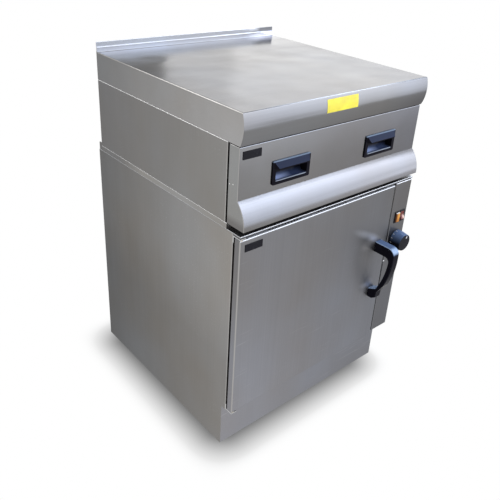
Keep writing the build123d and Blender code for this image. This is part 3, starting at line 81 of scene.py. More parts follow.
class OvenSteel(bpy.types.PropertyGroup):
    """Colours and roughness of the sheet metal, among them tones of painted reflection, painted shade and
    painted highlight.
    """

    sheet_colour: colour_property("Sheet", "the brushed side panels", (0.216, 0.213, 0.208))
    side_colour: colour_property("Lower sides", "the lower side panels", (0.233, 0.232, 0.229))
    # Painted shade: the lower sides are darker on their lower half.
    side_foot: colour_property("Side feet", "the lower sides' lower half", (0.196, 0.196, 0.195))
    door_colour: colour_property("Door", "the door", (0.180, 0.180, 0.186))
    panel_colour: colour_property("Control panel", "the control panel", (0.157, 0.156, 0.162))
    # Painted reflection: the door and the frame pieces turn lighter and bluer towards their lower end.
    foot_colour: colour_property("Door foot", "the door's lower end", (0.262, 0.264, 0.284))
    top_colour: colour_property("Worktop", "the worktop and its fascia", (0.195, 0.194, 0.197))
    # Painted reflection: the worktop darkens towards its back.
    top_back: colour_property("Worktop back", "the worktop's back half", (0.168, 0.167, 0.170))
    # Painted reflection: a pale strip along the top's upstand.
    strip_colour: colour_property("Back strip", "the top along its upstand", (0.36, 0.365, 0.38))
    # Painted light and shade: the worktop's folded ends are lighter at the front and darker at the back.
    skirt_colour: colour_property("Skirts", "the folded ends at the front", (0.36, 0.352, 0.345))
    skirt_back: colour_property("Skirt backs", "the folded ends at the back", (0.222, 0.222, 0.222))
    # Painted reflections: the upstand and its ledge are pale, with painted shade at their right ends.
    ledge_colour: colour_property("Ledge", "the upstand's lower ledge", (0.58, 0.585, 0.61))
    ledge_end: colour_property("Ledge end", "the ledge's right end", (0.42, 0.42, 0.45))
    upstand_colour: colour_property("Upstand", "the upstand above its ledge", (0.64, 0.65, 0.67))
    upstand_end: colour_property("Upstand end", "the upstand's right end", (0.15, 0.15, 0.155))
    drawer_colour: colour_property("Drawer", "the drawer front", (0.195, 0.192, 0.196))
    # Painted highlight: the drawer nose's lower edge turns lighter towards its right end.
    nose_foot: colour_property("Nose foot", "the drawer nose's lower edge", (0.19, 0.187, 0.19))
    nose_end: colour_property("Nose end", "that edge's right end", (0.33, 0.327, 0.34))
    # Painted light: the drawer front's ends are lighter than its face.
    drawer_ends: colour_property("Drawer ends", "the drawer front's ends", (0.28, 0.283, 0.285))
    box_colour: colour_property("Drawer box", "the drawer's box", (0.52, 0.52, 0.52))
    liner_colour: colour_property("Liner", "the oven's inside", (0.44, 0.43, 0.42))
    roughness: factor_property("Roughness", "How widely the panels spread a reflection", 0.36)
    top_roughness: factor_property("Worktop roughness", "How widely the worktop spreads one", 0.16)
    drawer_roughness: factor_property("Drawer roughness", "How widely the drawer front spreads one", 0.2)
    door_roughness: factor_property("Door roughness", "How widely the door spreads one", 0.44)
    grain_depth: length_property("Grain depth", "Depth of the brushed grain", 0.00003)


class OvenMouldings(bpy.types.PropertyGroup):
    """Colours of the plastic pieces and lenses, with the painted sky sheen and painted highlights on the
    black ones.
    """

    black: colour_property("Black", "the handle, pulls and knob", (0.008, 0.0075, 0.012))
    # Painted reflection: a pale blue sky sheen on the upper faces of the handle and knob.
    sky_sheen: colour_property("Sky sheen", "the bloom on the black pieces' upper faces", (0.10, 0.15, 0.27))
    # Painted highlights on the handle's upper bends.
    edge: colour_property("Worn edges", "the sheen on the handle's upper bends", (0.38, 0.50, 0.70))
    # Painted reflection: a pale blue sky sheen on the pulls' upper faces.
    pull_sky_sheen: colour_property("Pull sky sheen", "the bloom on the pulls' upper faces", (0.045, 0.065, 0.14))
    amber: colour_property("Lens", "the indicator lamp's lens", (0.52, 0.18, 0.015))
    red: colour_property("Rocker", "the switch rocker", (0.13, 0.018, 0.014))
    yellow: colour_property("Patch", "the plain patch on the fascia", (0.86, 0.72, 0.02))
    white: colour_property("Marks", "the knob's marks", (0.85, 0.85, 0.85))


class OvenTrim(bpy.types.PropertyGroup):
    """Places and sizes of the small trim."""

    plate_width: length_property("Plate width", "Width of the bare black plates", 0.050)
    plate_height: length_property("Plate height", "Height of the bare black plates", 0.018)
    plate_thickness: length_property("Plate thickness", "How far the plates stand off", 0.0012)
    patch_left: length_property("Patch left", "Left end of the yellow patch", -0.066)
    patch_right: length_property("Patch right", "Right end of the yellow patch", 0.035)
    patch_top: length_property("Patch top", "Level of the patch's upper edge", 0.8935)
    patch_bottom: length_property("Patch bottom", "Level of the patch's lower edge", 0.864)
    patch_thickness: length_property("Patch thickness", "Thickness of the patch", 0.0003)
    weld_size: length_property("Weld size", "Size of the spot weld marks", 0.0026)
    weld_height: length_property("Weld height", "How far the weld marks stand off", 0.0003)
    bead_size: length_property("Bead size", "Size of the bead on the panel's edge", 0.0052)
    bead_height: length_property("Bead height", "How far the bead stands off", 0.0012)
    mark_width: length_property("Mark width", "Width of the knob's marks", 0.0022)
    mark_height: length_property("Mark height", "How far the knob's marks stand up", 0.0004)


class OvenStage(bpy.types.PropertyGroup):
    """Camera, floor and surround."""

    camera_place: bpy.props.FloatVectorProperty(
        name="Camera",
        description="Where the camera stands",
        subtype="XYZ",
        unit="LENGTH",
        default=(-1.0238, -1.1294, 1.2484),
    )
    azimuth: angle_property("Azimuth", "Turn of the view from straight on", 42.7198)
    elevation: angle_property("Elevation", "How far the camera looks down", 26.7042)
    roll: angle_property("Roll", "Tilt of the camera about its line of sight", -3.9043)
    lens: bpy.props.FloatProperty(
        name="Lens", description="Focal length in millimetres on a 36 mm wide sensor", default=43.606
    )
    shift: bpy.props.FloatVectorProperty(
        name="Shift",
        description="Camera shift that keeps the photograph's framing",
        size=2,
        default=(-0.0233, -0.0696),
    )
    floor_colour: colour_property("Floor", "the paper floor", (0.92, 0.92, 0.92))
    floor_radius: length_property("Floor radius", "Radius of the floor disc", 15.0)
    surround: bpy.props.FloatProperty(
        name="Surround", description="Strength of the soft light from all round", default=0.6
    )


# Shader helpers

NOISE_RANGE = (0.3, 0.7)
# A mix node's sockets for its factor and two colours, and for the colour it gives
MIX_INPUTS = (0, 6, 7)
MIX_RESULT = 2
PLAIN = (1.0, 1.0, 1.0, 1.0)


def node(tree, kind, inputs=None, **settings):
    """Adds a shader node, sets its properties and fills its inputs with values or links."""
    made = tree.nodes.new(kind)
    for key, value in settings.items():
        setattr(made, key, value)
    for socket, value in (inputs or {}).items():
        if isinstance(value, bpy.types.NodeSocket):
            tree.links.new(value, made.inputs[socket])
        else:
            made.inputs[socket].default_value = value
    return made


def start_material(name, **constants):
    """A new material, its tree and its shader, with constant inputs set."""
    material = bpy.data.materials.new(name)
    material.use_nodes = True
    tree = material.node_tree
    shader = tree.nodes["Principled BSDF"]
    for socket, value in constants.items():
        shader.inputs[socket.replace("_", " ").title().replace("Ior", "IOR")].default_value = value
    return material, tree, shader


def shade(colour, factor=1.0):
    """A colour made lighter or darker, with full alpha."""
    return (*(min(1.0, c * factor) for c in colour), 1.0)


def noise(tree, scale, detail, turn=(0.0, 0.0, 0.0)):
    """Noise in the piece's own metres, with a scale for each axis, turned where asked."""
    place = node(tree, "ShaderNodeTexCoord").outputs["Object"]
    stretch = node(tree, "ShaderNodeMapping", {"Vector": place, "Rotation": turn, "Scale": scale})
    values = {"Vector": stretch.outputs["Vector"], "Scale": 1.0, "Detail": detail}
    return node(tree, "ShaderNodeTexNoise", values).outputs["Fac"]


def spread(tree, factor, low, high, from_low=NOISE_RANGE[0], from_high=NOISE_RANGE[1], **settings):
    """Maps a factor, by default a noise, to the range between two numbers."""
    values = {"Value": factor, "From Min": from_low, "From Max": from_high, "To Min": low, "To Max": high}
    return node(tree, "ShaderNodeMapRange", values, **settings).outputs["Result"]


def fall(tree, distance, start, end):
    """One up to a start, falling softly to nought at an end."""
    return spread(tree, distance, 1.0, 0.0, start, end, interpolation_type="SMOOTHSTEP")


def blend(tree, factor, first, second, how="MIX"):
    """Mixes two colours by a factor."""
    values = dict(zip(MIX_INPUTS, (factor, first, second)))
    return node(tree, "ShaderNodeMix", values, data_type="RGBA", blend_type=how).outputs[MIX_RESULT]


def multiply(tree, first, second):
    """One colour darkened or tinted by another."""
    return blend(tree, 1.0, first, second, "MULTIPLY")


def math_node(tree, operation, first, second):
    """The result of a sum on two factors."""
    return node(tree, "ShaderNodeMath", {0: first, 1: second}, operation=operation).outputs["Value"]


def bump(tree, shader, height, strength, distance):
    """Gives a shader small relief from a height factor, on top of any relief it has."""
    values = {"Height": height, "Strength": strength, "Distance": distance}
    made = node(tree, "ShaderNodeBump", values)
    for link in shader.inputs["Normal"].links:
        tree.links.new(link.from_socket, made.inputs["Normal"])
    tree.links.new(made.outputs["Normal"], shader.inputs["Normal"])


# Masks. Each pair of slopes is where a mask starts and where it is full.

BEND_SHARES = (0.02, 0.2)
BEND_SLOPES = (0.1, 0.3)
CROWN_SLOPES = (0.9, 0.99)
END_SLOPES = (0.5, 0.9)
FRONT_SLOPES = (-0.5, -0.8)
REAR_SLOPES = (0.5, 0.9)
NOSE_SLOPES = (0.0, 0.2)
OVAL_DEPTH = 100.0
SCUFF_TURN = (0.35, 0.5, 0.25)
SCUFF_SCALE = (9.0, 260.0, 260.0)
SCUFF_LINES = (0.64, 0.72)
SCUFF_PLACES = (5.0, 5.0, 7.0)
SCUFF_SPOTS = (0.52, 0.64)


def own(tree, source, axis):
    """One axis of a piece's own places, shares or normals, so that tones stay with it as it moves."""
    place = node(tree, "ShaderNodeTexCoord")
    return node(tree, "ShaderNodeSeparateXYZ", {0: place.outputs[source]}).outputs[axis]


def facing(tree, axis):
    """How squarely a face looks along an axis, from nought to one, whichever way along it."""
    slope = own(tree, "Normal", axis)
    return node(tree, "ShaderNodeMath", {0: slope}, operation="ABSOLUTE").outputs["Value"]


def looking(tree, axis, low, high):
    """Nought on faces turned off an axis and one on those that look along it."""
    return spread(tree, own(tree, "Normal", axis), 0.0, 1.0, low, high)


def along(tree, axis, low, high):
    """Nought up to one place along an axis of the piece and one from another place on."""
    return spread(tree, own(tree, "Object", axis), 0.0, 1.0, low, high)


def inside(tree, axis, low, high, soft):
    """One between two shares of a piece's own box along an axis, with soft ends."""
    share = own(tree, "Generated", axis)
    rise = spread(tree, share, 0.0, 1.0, low - soft, low + soft)
    drop = spread(tree, share, 1.0, 0.0, high - soft, high + soft)
    return math_node(tree, "MULTIPLY", rise, drop)


def bend_highlight(tree, axis):
    """The mask for painted highlights on bends: one on bends halfway between a face across an axis and its
    neighbour, nought on the flat faces.
    """
    square = math_node(tree, "POWER", facing(tree, axis), 2.0)
    rest = math_node(tree, "SUBTRACT", 1.0, square)
    return spread(tree, math_node(tree, "MULTIPLY", square, rest), 0.0, 1.0, *BEND_SHARES)


def upper_bend(tree):
    """One on bends halfway between an upper face and its neighbour, nought elsewhere."""
    return math_node(tree, "MULTIPLY", bend_highlight(tree, "Z"), looking(tree, "Z", *BEND_SLOPES))


def reflection_oval(tree, x, z, turn, reach_x, reach_z):
    """The mask for a painted reflection: one in the middle of a soft oval patch on a sheet's front, falling
    to nought at its rim.
    """
    values = {
        "Vector": node(tree, "ShaderNodeTexCoord").outputs["Object"],
        "Location": (x, 0.0, z),
        "Rotation": (0.0, math.radians(turn), 0.0),
        "Scale": (reach_x, OVAL_DEPTH, reach_z),
    }
    oval = node(tree, "ShaderNodeMapping", values, vector_type="TEXTURE").outputs["Vector"]
    away = node(tree, "ShaderNodeVectorMath", {0: oval}, operation="LENGTH").outputs["Value"]
    return math_node(tree, "MULTIPLY", fall(tree, away, 0.0, 1.0), looking(tree, "Y", *FRONT_SLOPES))


def scuffs(tree):
    """Sparse hairline scratches, slanted across the grain."""
    line = spread(tree, noise(tree, SCUFF_SCALE, 2.0, SCUFF_TURN), 0.0, 1.0, *SCUFF_LINES)
    spot = spread(tree, noise(tree, SCUFF_PLACES, 2.0), 0.0, 1.0, *SCUFF_SPOTS)
    return math_node(tree, "MULTIPLY", line, spot)


# Finishes

GRAIN_FINE = 620.0
GRAIN_BROAD = 22.0
GRAIN_ALONG = 1.4
GRAIN_RELIEF = 0.14
GRAIN_ROUGHNESS = 0.02
GRAIN_DARK = (0.955, 0.955, 0.955, 1.0)
SMEAR_SCALE = (3.2, 3.2, 2.4)
WARM = (0.952, 0.920, 0.878, 1.0)
COOL = (1.048, 1.080, 1.129, 1.0)
CLOUD_SCALE = (11.0, 11.0, 8.0)
CLOUD_ROUGHNESS = (-0.03, 0.04)
WAVE_SCALE = (7.0, 9.0, 7.0)
WAVE_END = (0.15, 0.27)
BAND_DARK = (0.985, 0.985, 0.985, 1.0)
BAND_LIGHT = (1.015, 1.015, 1.015, 1.0)
EDGE_TINT = (0.5, 0.5, 0.5, 1.0)
POLISH = (0.62, 0.62, 0.63, 1.0)
# Painted highlights on the sheets' bends
SOFT_BEND = (0.40, 0.39, 0.38, 1.0)
BRIGHT_BEND = (0.52, 0.53, 0.55, 1.0)
SEAM_BEND = (0.86, 0.86, 0.87, 1.0)
# Painted light on the door's upper faces
LIT_CROWN = (0.40, 0.42, 0.46, 1.0)
LEVEL_BLEND = 0.0015
SHEET_DEPTH = (-0.22, 0.3)
SHEET_WIDTH = (-0.3, 0.3)
SHEET_SCUFF = 0.16
SHEET_TONES = ("ends", "foot", "above", "deeper")


def grain_scale(axis, across):
    """Noise scales that draw streaks out along one axis."""
    return [GRAIN_ALONG if name == axis else across for name in "XYZ"]


def sheet_tone(tree, colour, ends=None, foot=None, above=(), deeper=()):
    """A sheet's own colour, with tones of painted reflection and painted shade deeper in, on its folded
    ends, its foot and its raised bands.

    Each deeper strip has a tone and the depths it fades between, the ends a front and a back tone, the foot
    the tones of its left and right ends and the levels it fades between, and each raised band a level, the
    tones of its left and right ends and the places it fades between.
    """
    sheet = shade(colour)
    for tone, low, high in deeper:
        sheet = blend(tree, along(tree, "Y", low, high), sheet, shade(tone))
    if ends:
        fold = blend(tree, along(tree, "Y", *SHEET_DEPTH), *(shade(tone) for tone in ends))
        sheet = blend(tree, spread(tree, facing(tree, "X"), 0.0, 1.0, *END_SLOPES), sheet, fold)
    if foot:
        tone, end_tone, low, high = foot
        edge = blend(tree, along(tree, "X", *SHEET_WIDTH), shade(tone), shade(end_tone))
        sheet = blend(tree, along(tree, "Z", low, high), edge, sheet)
    for level, tone, end_tone, start, end in above:
        band = blend(tree, along(tree, "X", start, end), shade(tone), shade(end_tone))
        sheet = blend(tree, along(tree, "Z", level, level + LEVEL_BLEND), sheet, band)
    if above:
        sheet = blend(tree, looking(tree, "Y", *REAR_SLOPES), sheet, shade(colour))
    return sheet


def drifted(tree, axis, low, high, near, far):
    """A tint that changes from one place along an axis to another: painted light and shade."""
    return blend(tree, along(tree, axis, low, high), (*near, 1.0), (*far, 1.0))


def brushed_steel(name, axis, colour, roughness, depth, **extra):
    """Brushed stainless sheet: fine grain along one axis, bands, smears, scuffs, ovals of painted
    reflection and painted highlights on its bends.

    Extras: tones for sheet_tone (painted reflection and painted shade), drift (an axis, two places and the
    tints there, painted light and shade along the sheet), upper_drift (the same for faces that look up),
    painted_reflections (each a tint and the oval it fills), scuff (how strong the scuffs are), side_bend
    and top_bend (colours of painted highlights on bends), lit_crown (colour of painted light on the matt
    upper edges, which it makes non-metal) and wave (height of gentle waves in the sheet, clear of its
    back).
    """
    material, tree, shader = start_material(name, metallic=1.0, specular_tint=EDGE_TINT)
    fine = noise(tree, grain_scale(axis, GRAIN_FINE), detail=2.0)
    broad = noise(tree, grain_scale(axis, GRAIN_BROAD), detail=3.0)
    smear = noise(tree, SMEAR_SCALE, detail=3.0)
    cloud = noise(tree, CLOUD_SCALE, detail=5.0)
    banded = blend(tree, spread(tree, broad, 0.0, 1.0), BAND_DARK, BAND_LIGHT)
    smeared = blend(tree, spread(tree, smear, 0.0, 1.0), WARM, COOL)
    grained = blend(tree, spread(tree, fine, 0.0, 1.0), PLAIN, GRAIN_DARK)
    tone = multiply(tree, multiply(tree, banded, smeared), grained)
    tones = {key: extra[key] for key in SHEET_TONES if key in extra}
    tone = multiply(tree, tone, sheet_tone(tree, colour, **tones))
    # Painted light and shade: tints that change along the sheet, and along its upper faces.
    if "drift" in extra:
        tint = drifted(tree, *extra["drift"])
        if "upper_drift" in extra:
            upper_tint = drifted(tree, *extra["upper_drift"])
            tint = blend(tree, looking(tree, "Z", *NOSE_SLOPES), tint, upper_tint)
        tone = multiply(tree, tone, tint)
    # Painted reflections: soft ovals that lighten or darken the sheet.
    for tint, *oval in extra.get("painted_reflections", ()):
        tone = multiply(tree, tone, blend(tree, reflection_oval(tree, *oval), PLAIN, (*tint, 1.0)))
    scratched = spread(tree, scuffs(tree), 0.0, extra.get("scuff", SHEET_SCUFF), 0.0, 1.0)
    tone = blend(tree, scratched, tone, POLISH)
    # Painted highlights on the bends.
    if "side_bend" in extra:
        tone = blend(tree, bend_highlight(tree, "X"), tone, extra["side_bend"])
    if "top_bend" in extra:
        tone = blend(tree, upper_bend(tree), tone, extra["top_bend"])
    # Painted light on the upper faces, which are also made non-metal.
    if "lit_crown" in extra:
        upper = looking(tree, "Z", *CROWN_SLOPES)
        tone = blend(tree, upper, tone, extra["lit_crown"])
        tree.links.new(math_node(tree, "SUBTRACT", 1.0, upper), shader.inputs["Metallic"])
    tree.links.new(tone, shader.inputs["Base Color"])
    clouded = spread(tree, cloud, *(roughness + change for change in CLOUD_ROUGHNESS))
    streaked = spread(tree, fine, -GRAIN_ROUGHNESS, GRAIN_ROUGHNESS)
    tree.links.new(math_node(tree, "ADD", clouded, streaked), shader.inputs["Roughness"])
    if "wave" in extra:
        ahead = math_node(tree, "SUBTRACT", 1.0, along(tree, "Y", *WAVE_END))
        waves = math_node(tree, "MULTIPLY", noise(tree, WAVE_SCALE, detail=1.0), ahead)
        bump(tree, shader, waves, 1.0, extra["wave"])
    bump(tree, shader, fine, GRAIN_RELIEF, depth)
    return material


PATCH_SCALE = (28.0, 28.0, 28.0)
PATCH_TONES = (0.85, 1.2)
PATCH_ROUGHNESS = 0.05
SPARK_SCALE = (1800.0, 1800.0, 1800.0)
SPARK_DEPTH = 0.00001
SPARK_RELIEF = 0.2
# Slopes between which a face counts as upper, for the painted sky sheen and the glints that stay up
SHEEN_SLOPES = (0.05, 0.75)
PULL_SLOPES = (0.3, 0.95)
# Each glint is a painted highlight, or painted shade where it is dark: it has a colour, the shares of the
# piece's box it fills along each axis and how soft they end, and whether it stays on upper faces. A share
# below nought or above one has no end there.
PULL_GLINTS = (
    ((0.50, 0.62, 1.00), (("X", -1.0, 0.42, 0.18), ("Y", 0.45, 0.85, 0.10)), True),
    (
        (0.42, 0.47, 0.56),
        (("X", 0.10, 0.90, 0.02), ("Y", -1.0, 0.33, 0.02), ("Z", 0.145, 0.172, 0.006)),
        False,
    ),
    ((0.20, 0.26, 0.36), (("Z", 0.960, 2.0, 0.008),), False),
)
LENS_GLINTS = (
    ((0.16, 0.05, 0.004), (("X", -1.0, 0.20, 0.12),), False),
    ((0.75, 0.36, 0.06), (("X", 0.50, 2.0, 0.20), ("Z", 0.45, 2.0, 0.25)), False),
    ((0.75, 0.72, 0.68), (("Z", 0.945, 2.0, 0.02),), False),
)
ROCKER_GLINTS = (((0.80, 0.55, 0.46), (("X", 0.55, 2.0, 0.20), ("Z", 0.12, 0.50, 0.15)), False),)


def moulded_plastic(name, colour, roughness, specular=0.5, **extra):
    """Moulded plastic with a fine spark grain and polished patches.

    Extras: sky_sheen (a painted reflection on upper faces), slopes (between which a face counts as upper),
    edge (a painted highlight on upper bends) and glints (painted highlights and painted shade).
    """
    material, tree, shader = start_material(name, specular_ior_level=specular)
    patches = noise(tree, PATCH_SCALE, detail=3.0)
    spark = noise(tree, SPARK_SCALE, detail=1.0)
    tone = blend(tree, spread(tree, patches, 0.0, 1.0), *(shade(colour, factor) for factor in PATCH_TONES))
    upper = looking(tree, "Z", *extra.get("slopes", SHEEN_SLOPES))
    # Painted reflection of the sky on the upper faces.
    if "sky_sheen" in extra:
        tone = blend(tree, upper, tone, shade(extra["sky_sheen"]))
    # Painted highlights on the upper bends.
    if "edge" in extra:
        tone = blend(tree, upper_bend(tree), tone, shade(extra["edge"]))
    # Painted highlights and painted shade from the glints.
    for light, shares, stays_up in extra.get("glints", ()):
        lit = upper if stays_up else 1.0
        for share in shares:
            lit = math_node(tree, "MULTIPLY", lit, inside(tree, *share))
        tone = blend(tree, lit, tone, shade(light))
    tree.links.new(tone, shader.inputs["Base Color"])
    worn = spread(tree, patches, roughness - PATCH_ROUGHNESS, roughness + PATCH_ROUGHNESS)
    tree.links.new(worn, shader.inputs["Roughness"])
    bump(tree, shader, spark, SPARK_RELIEF, SPARK_DEPTH)
    return material


MOTTLE_SCALE = 120.0
MOTTLE_TONES = (0.9, 1.08)
MOTTLE_ROUGHNESS = (-0.05, 0.06)


def plain_metal(name, colour, roughness, scale=MOTTLE_SCALE):
    """Bright metal with a mottled surface for wire, turned and plated pieces."""
    material, tree, shader = start_material(name, metallic=1.0)
    mottle = noise(tree, (scale, scale, scale), detail=3.0)
    tone = blend(tree, spread(tree, mottle, 0.0, 1.0), *(shade(colour, factor) for factor in MOTTLE_TONES))
    tree.links.new(tone, shader.inputs["Base Color"])
    dull = spread(tree, mottle, *(roughness + change for change in MOTTLE_ROUGHNESS))
    tree.links.new(dull, shader.inputs["Roughness"])
    return material


WOOL_ROUGHNESS = 0.95
FIBRE_SCALE = (180.0, 40.0, 320.0)
FIBRE_TONES = (0.7, 1.15)
FIBRE_RELIEF = 0.8
FIBRE_DEPTH = 0.002


def fibre_wool(name, colour):
    """Mineral wool: matted fibres with darker pockets."""
    material, tree, shader = start_material(name, roughness=WOOL_ROUGHNESS)
    fibre = noise(tree, FIBRE_SCALE, detail=6.0)
    tone = blend(tree, spread(tree, fibre, 0.0, 1.0), *(shade(colour, factor) for factor in FIBRE_TONES))
    tree.links.new(tone, shader.inputs["Base Color"])
    bump(tree, shader, fibre, FIBRE_RELIEF, FIBRE_DEPTH)
    return material


def dress(material, *names):
    """Gives CAD nodes a finish."""
    for name in names:
        slots = NODES[name].data.materials
        slots.clear()
        slots.append(material)


def add_piece(name, build, material, body):
    """Links a new piece, gives it a finish and lets it ride on a CAD body."""
    mesh = mesh_from(build, name)
    made = bpy.data.objects.new(name, mesh)
    bpy.context.scene.collection.objects.link(made)
    mesh.materials.append(material)
    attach(made, body)
    return made


def mesh_from(build, name):
    """A mesh from a finished bmesh, with outward normals."""
    bmesh.ops.recalc_face_normals(build, faces=build.faces)
    mesh = bpy.data.meshes.new(name)
    build.to_mesh(mesh)
    build.free()
    return mesh


CORNER_STEPS = 6


def rounded_plate(width, height, thickness, corner, edge):
    """A thin plate in the XZ plane with round corners and a softened front edge, facing -Y."""
    build = bmesh.new()
    outline = []
    for cx, cz, start in ((1, 1, 0), (-1, 1, 90), (-1, -1, 180), (1, -1, 270)):
        for step in range(CORNER_STEPS + 1):
            angle = math.radians(start + 90.0 * step / CORNER_STEPS)
            x = cx * (width / 2 - corner) + corner * math.cos(angle)
            z = cz * (height / 2 - corner) + corner * math.sin(angle)
            outline.append((x, z))

    def ring(inset, y):
        """One ring of the outline's points, drawn in by an inset, at a depth."""
        kx = (width / 2 - inset) / (width / 2)
        kz = (height / 2 - inset) / (height / 2)
        return [build.verts.new((x * kx, y, z * kz)) for x, z in outline]

    rings = [ring(0.0, 0.0), ring(0.0, edge - thickness), ring(edge, -thickness)]
    count = len(outline)
    for near, far in zip(rings, rings[1:]):
        for i in range(count):
            build.faces.new((near[i], near[(i + 1) % count], far[(i + 1) % count], far[i]))
    build.faces.new(rings[0])
    build.faces.new(rings[-1])
    return build


def surface(name):
    """A CAD node's surface, for laying trim on it."""
    mesh = NODES[name].data
    return BVHTree.FromPolygons([v.co for v in mesh.vertices], [p.vertices for p in mesh.polygons])


def landing(tree, start, ahead):
    """Where a line meets a surface, and the outward normal there."""
    spot, normal = tree.ray_cast(Vector(start), Vector(ahead))[:2]
    if spot is None:
        raise RuntimeError(f"no surface ahead of {start}")
    return spot, normal if normal.dot(Vector(ahead)) < 0 else -normal


def laid_sheet(tree, corners, ahead, columns, rows, thickness):
    """A thin closed sheet laid over a surface, from a grid between four corners seen along a line."""
    build = bmesh.new()
    low_left, low_right, top_right, top_left = (Vector(c) for c in corners)

    def layer(lift):
        """One layer of the sheet's points, lifted off the surface."""
        points = []
        for row in range(rows + 1):
            left = low_left.lerp(top_left, row / rows)
            right = low_right.lerp(top_right, row / rows)
            for column in range(columns + 1):
                spot, normal = landing(tree, left.lerp(right, column / columns), ahead)
                points.append(build.verts.new(spot + normal * lift))
        return points

    under, over = layer(0.0), layer(thickness)
    stride = columns + 1
    for row in range(rows):
        for column in range(columns):
            i = row * stride + column
            square = (i, i + 1, i + 1 + stride, i + stride)
            build.faces.new([over[k] for k in square])
            build.faces.new([under[k] for k in reversed(square)])
    rim = list(range(stride))
    rim += [row * stride + columns for row in range(1, rows + 1)]
    rim += [rows * stride + column for column in range(columns - 1, -1, -1)]
    rim += [row * stride for row in range(rows - 1, 0, -1)]
    for here, there in zip(rim, rim[1:] + rim[:1]):
        build.faces.new((under[here], under[there], over[there], over[here]))
    return build


# Heights of the upstand and its plate, and places that tones of painted light and shade fade between
UPSTAND = 0.0245
UPSTAND_PLATE = 0.0115
LEDGE_FADE = (0.235, 0.275)
UPSTAND_FADE = (0.215, 0.25)
BACK_FADE = (-0.15, 0.06)
STRIP_FADE = (0.25, 0.3)
NOSE_RISE = (0.655, 0.672)
FOOT_RISE = (0.1, 0.6)
SIDE_RISE = (0.28, 0.46)
TOP_SCUFF = 0.06
TOP_WAVE = 0.0022
DRAWER_SCUFF = 0.05
# Each drift paints light and shade along a sheet: an axis, two places along it and the tints there
STRIP_DRIFT = ("Y", 0.1, 0.22, (1.5, 1.48, 1.45), (1.0, 1.0, 1.02))
SIDE_DRIFT = ("Y", -0.26, 0.32, (1.40, 1.36, 1.32), (0.78, 0.78, 0.785))
CASING_DRIFT = ("Y", -0.23, 0.3, (1.25, 1.23, 1.2), (0.96, 0.96, 0.98))
TOP_DRIFT = ("X", 0.12, 0.3, (1.0, 1.0, 1.0), (0.76, 0.76, 0.78))
DRAWER_DRIFT = ("X", -0.2, 0.3, (1.0, 0.985, 0.95), (0.87, 0.89, 0.95))
NOSE_DRIFT = ("X", -0.25, 0.3, (0.98, 1.005, 1.05), (1.12, 1.15, 1.21))
DOOR_DRIFT = ("X", -0.28, 0.2, (1.17, 1.16, 1.16), (0.86, 0.86, 0.86))
# Each painted reflection has a tint and an oval: its place across and up, its turn in degrees and its two
# reaches
TOP_REFLECTIONS = (
    ((0.83, 0.82, 0.82), -0.3, 0.883, 0.0, 0.42, 0.03),
    ((0.82, 0.81, 0.80), -0.18, 0.8715, 0.0, 0.2, 0.008),
    ((1.22, 1.22, 1.22), 0.33, 0.88, 0.0, 0.24, 0.04),
    ((2.30, 2.32, 2.40), 0.275, 0.905, 0.0, 0.1, 0.0085),
)
DOOR_REFLECTIONS = (
    ((1.90, 1.88, 1.86), 0.160, 0.470, 0.0, 0.048, 0.026),
    ((1.80, 1.84, 1.90), 0.142, 0.499, 27.0, 0.084, 0.016),
    ((1.35, 1.36, 1.40), 0.166, 0.485, 30.0, 0.035, 0.020),
    ((1.36, 1.35, 1.33), 0.147, 0.406, -14.0, 0.034, 0.115),
    ((1.90, 1.90, 1.95), 0.174, 0.330, 0.0, 0.030, 0.032),
    ((1.40, 1.44, 1.52), 0.164, 0.336, 10.0, 0.038, 0.014),
)


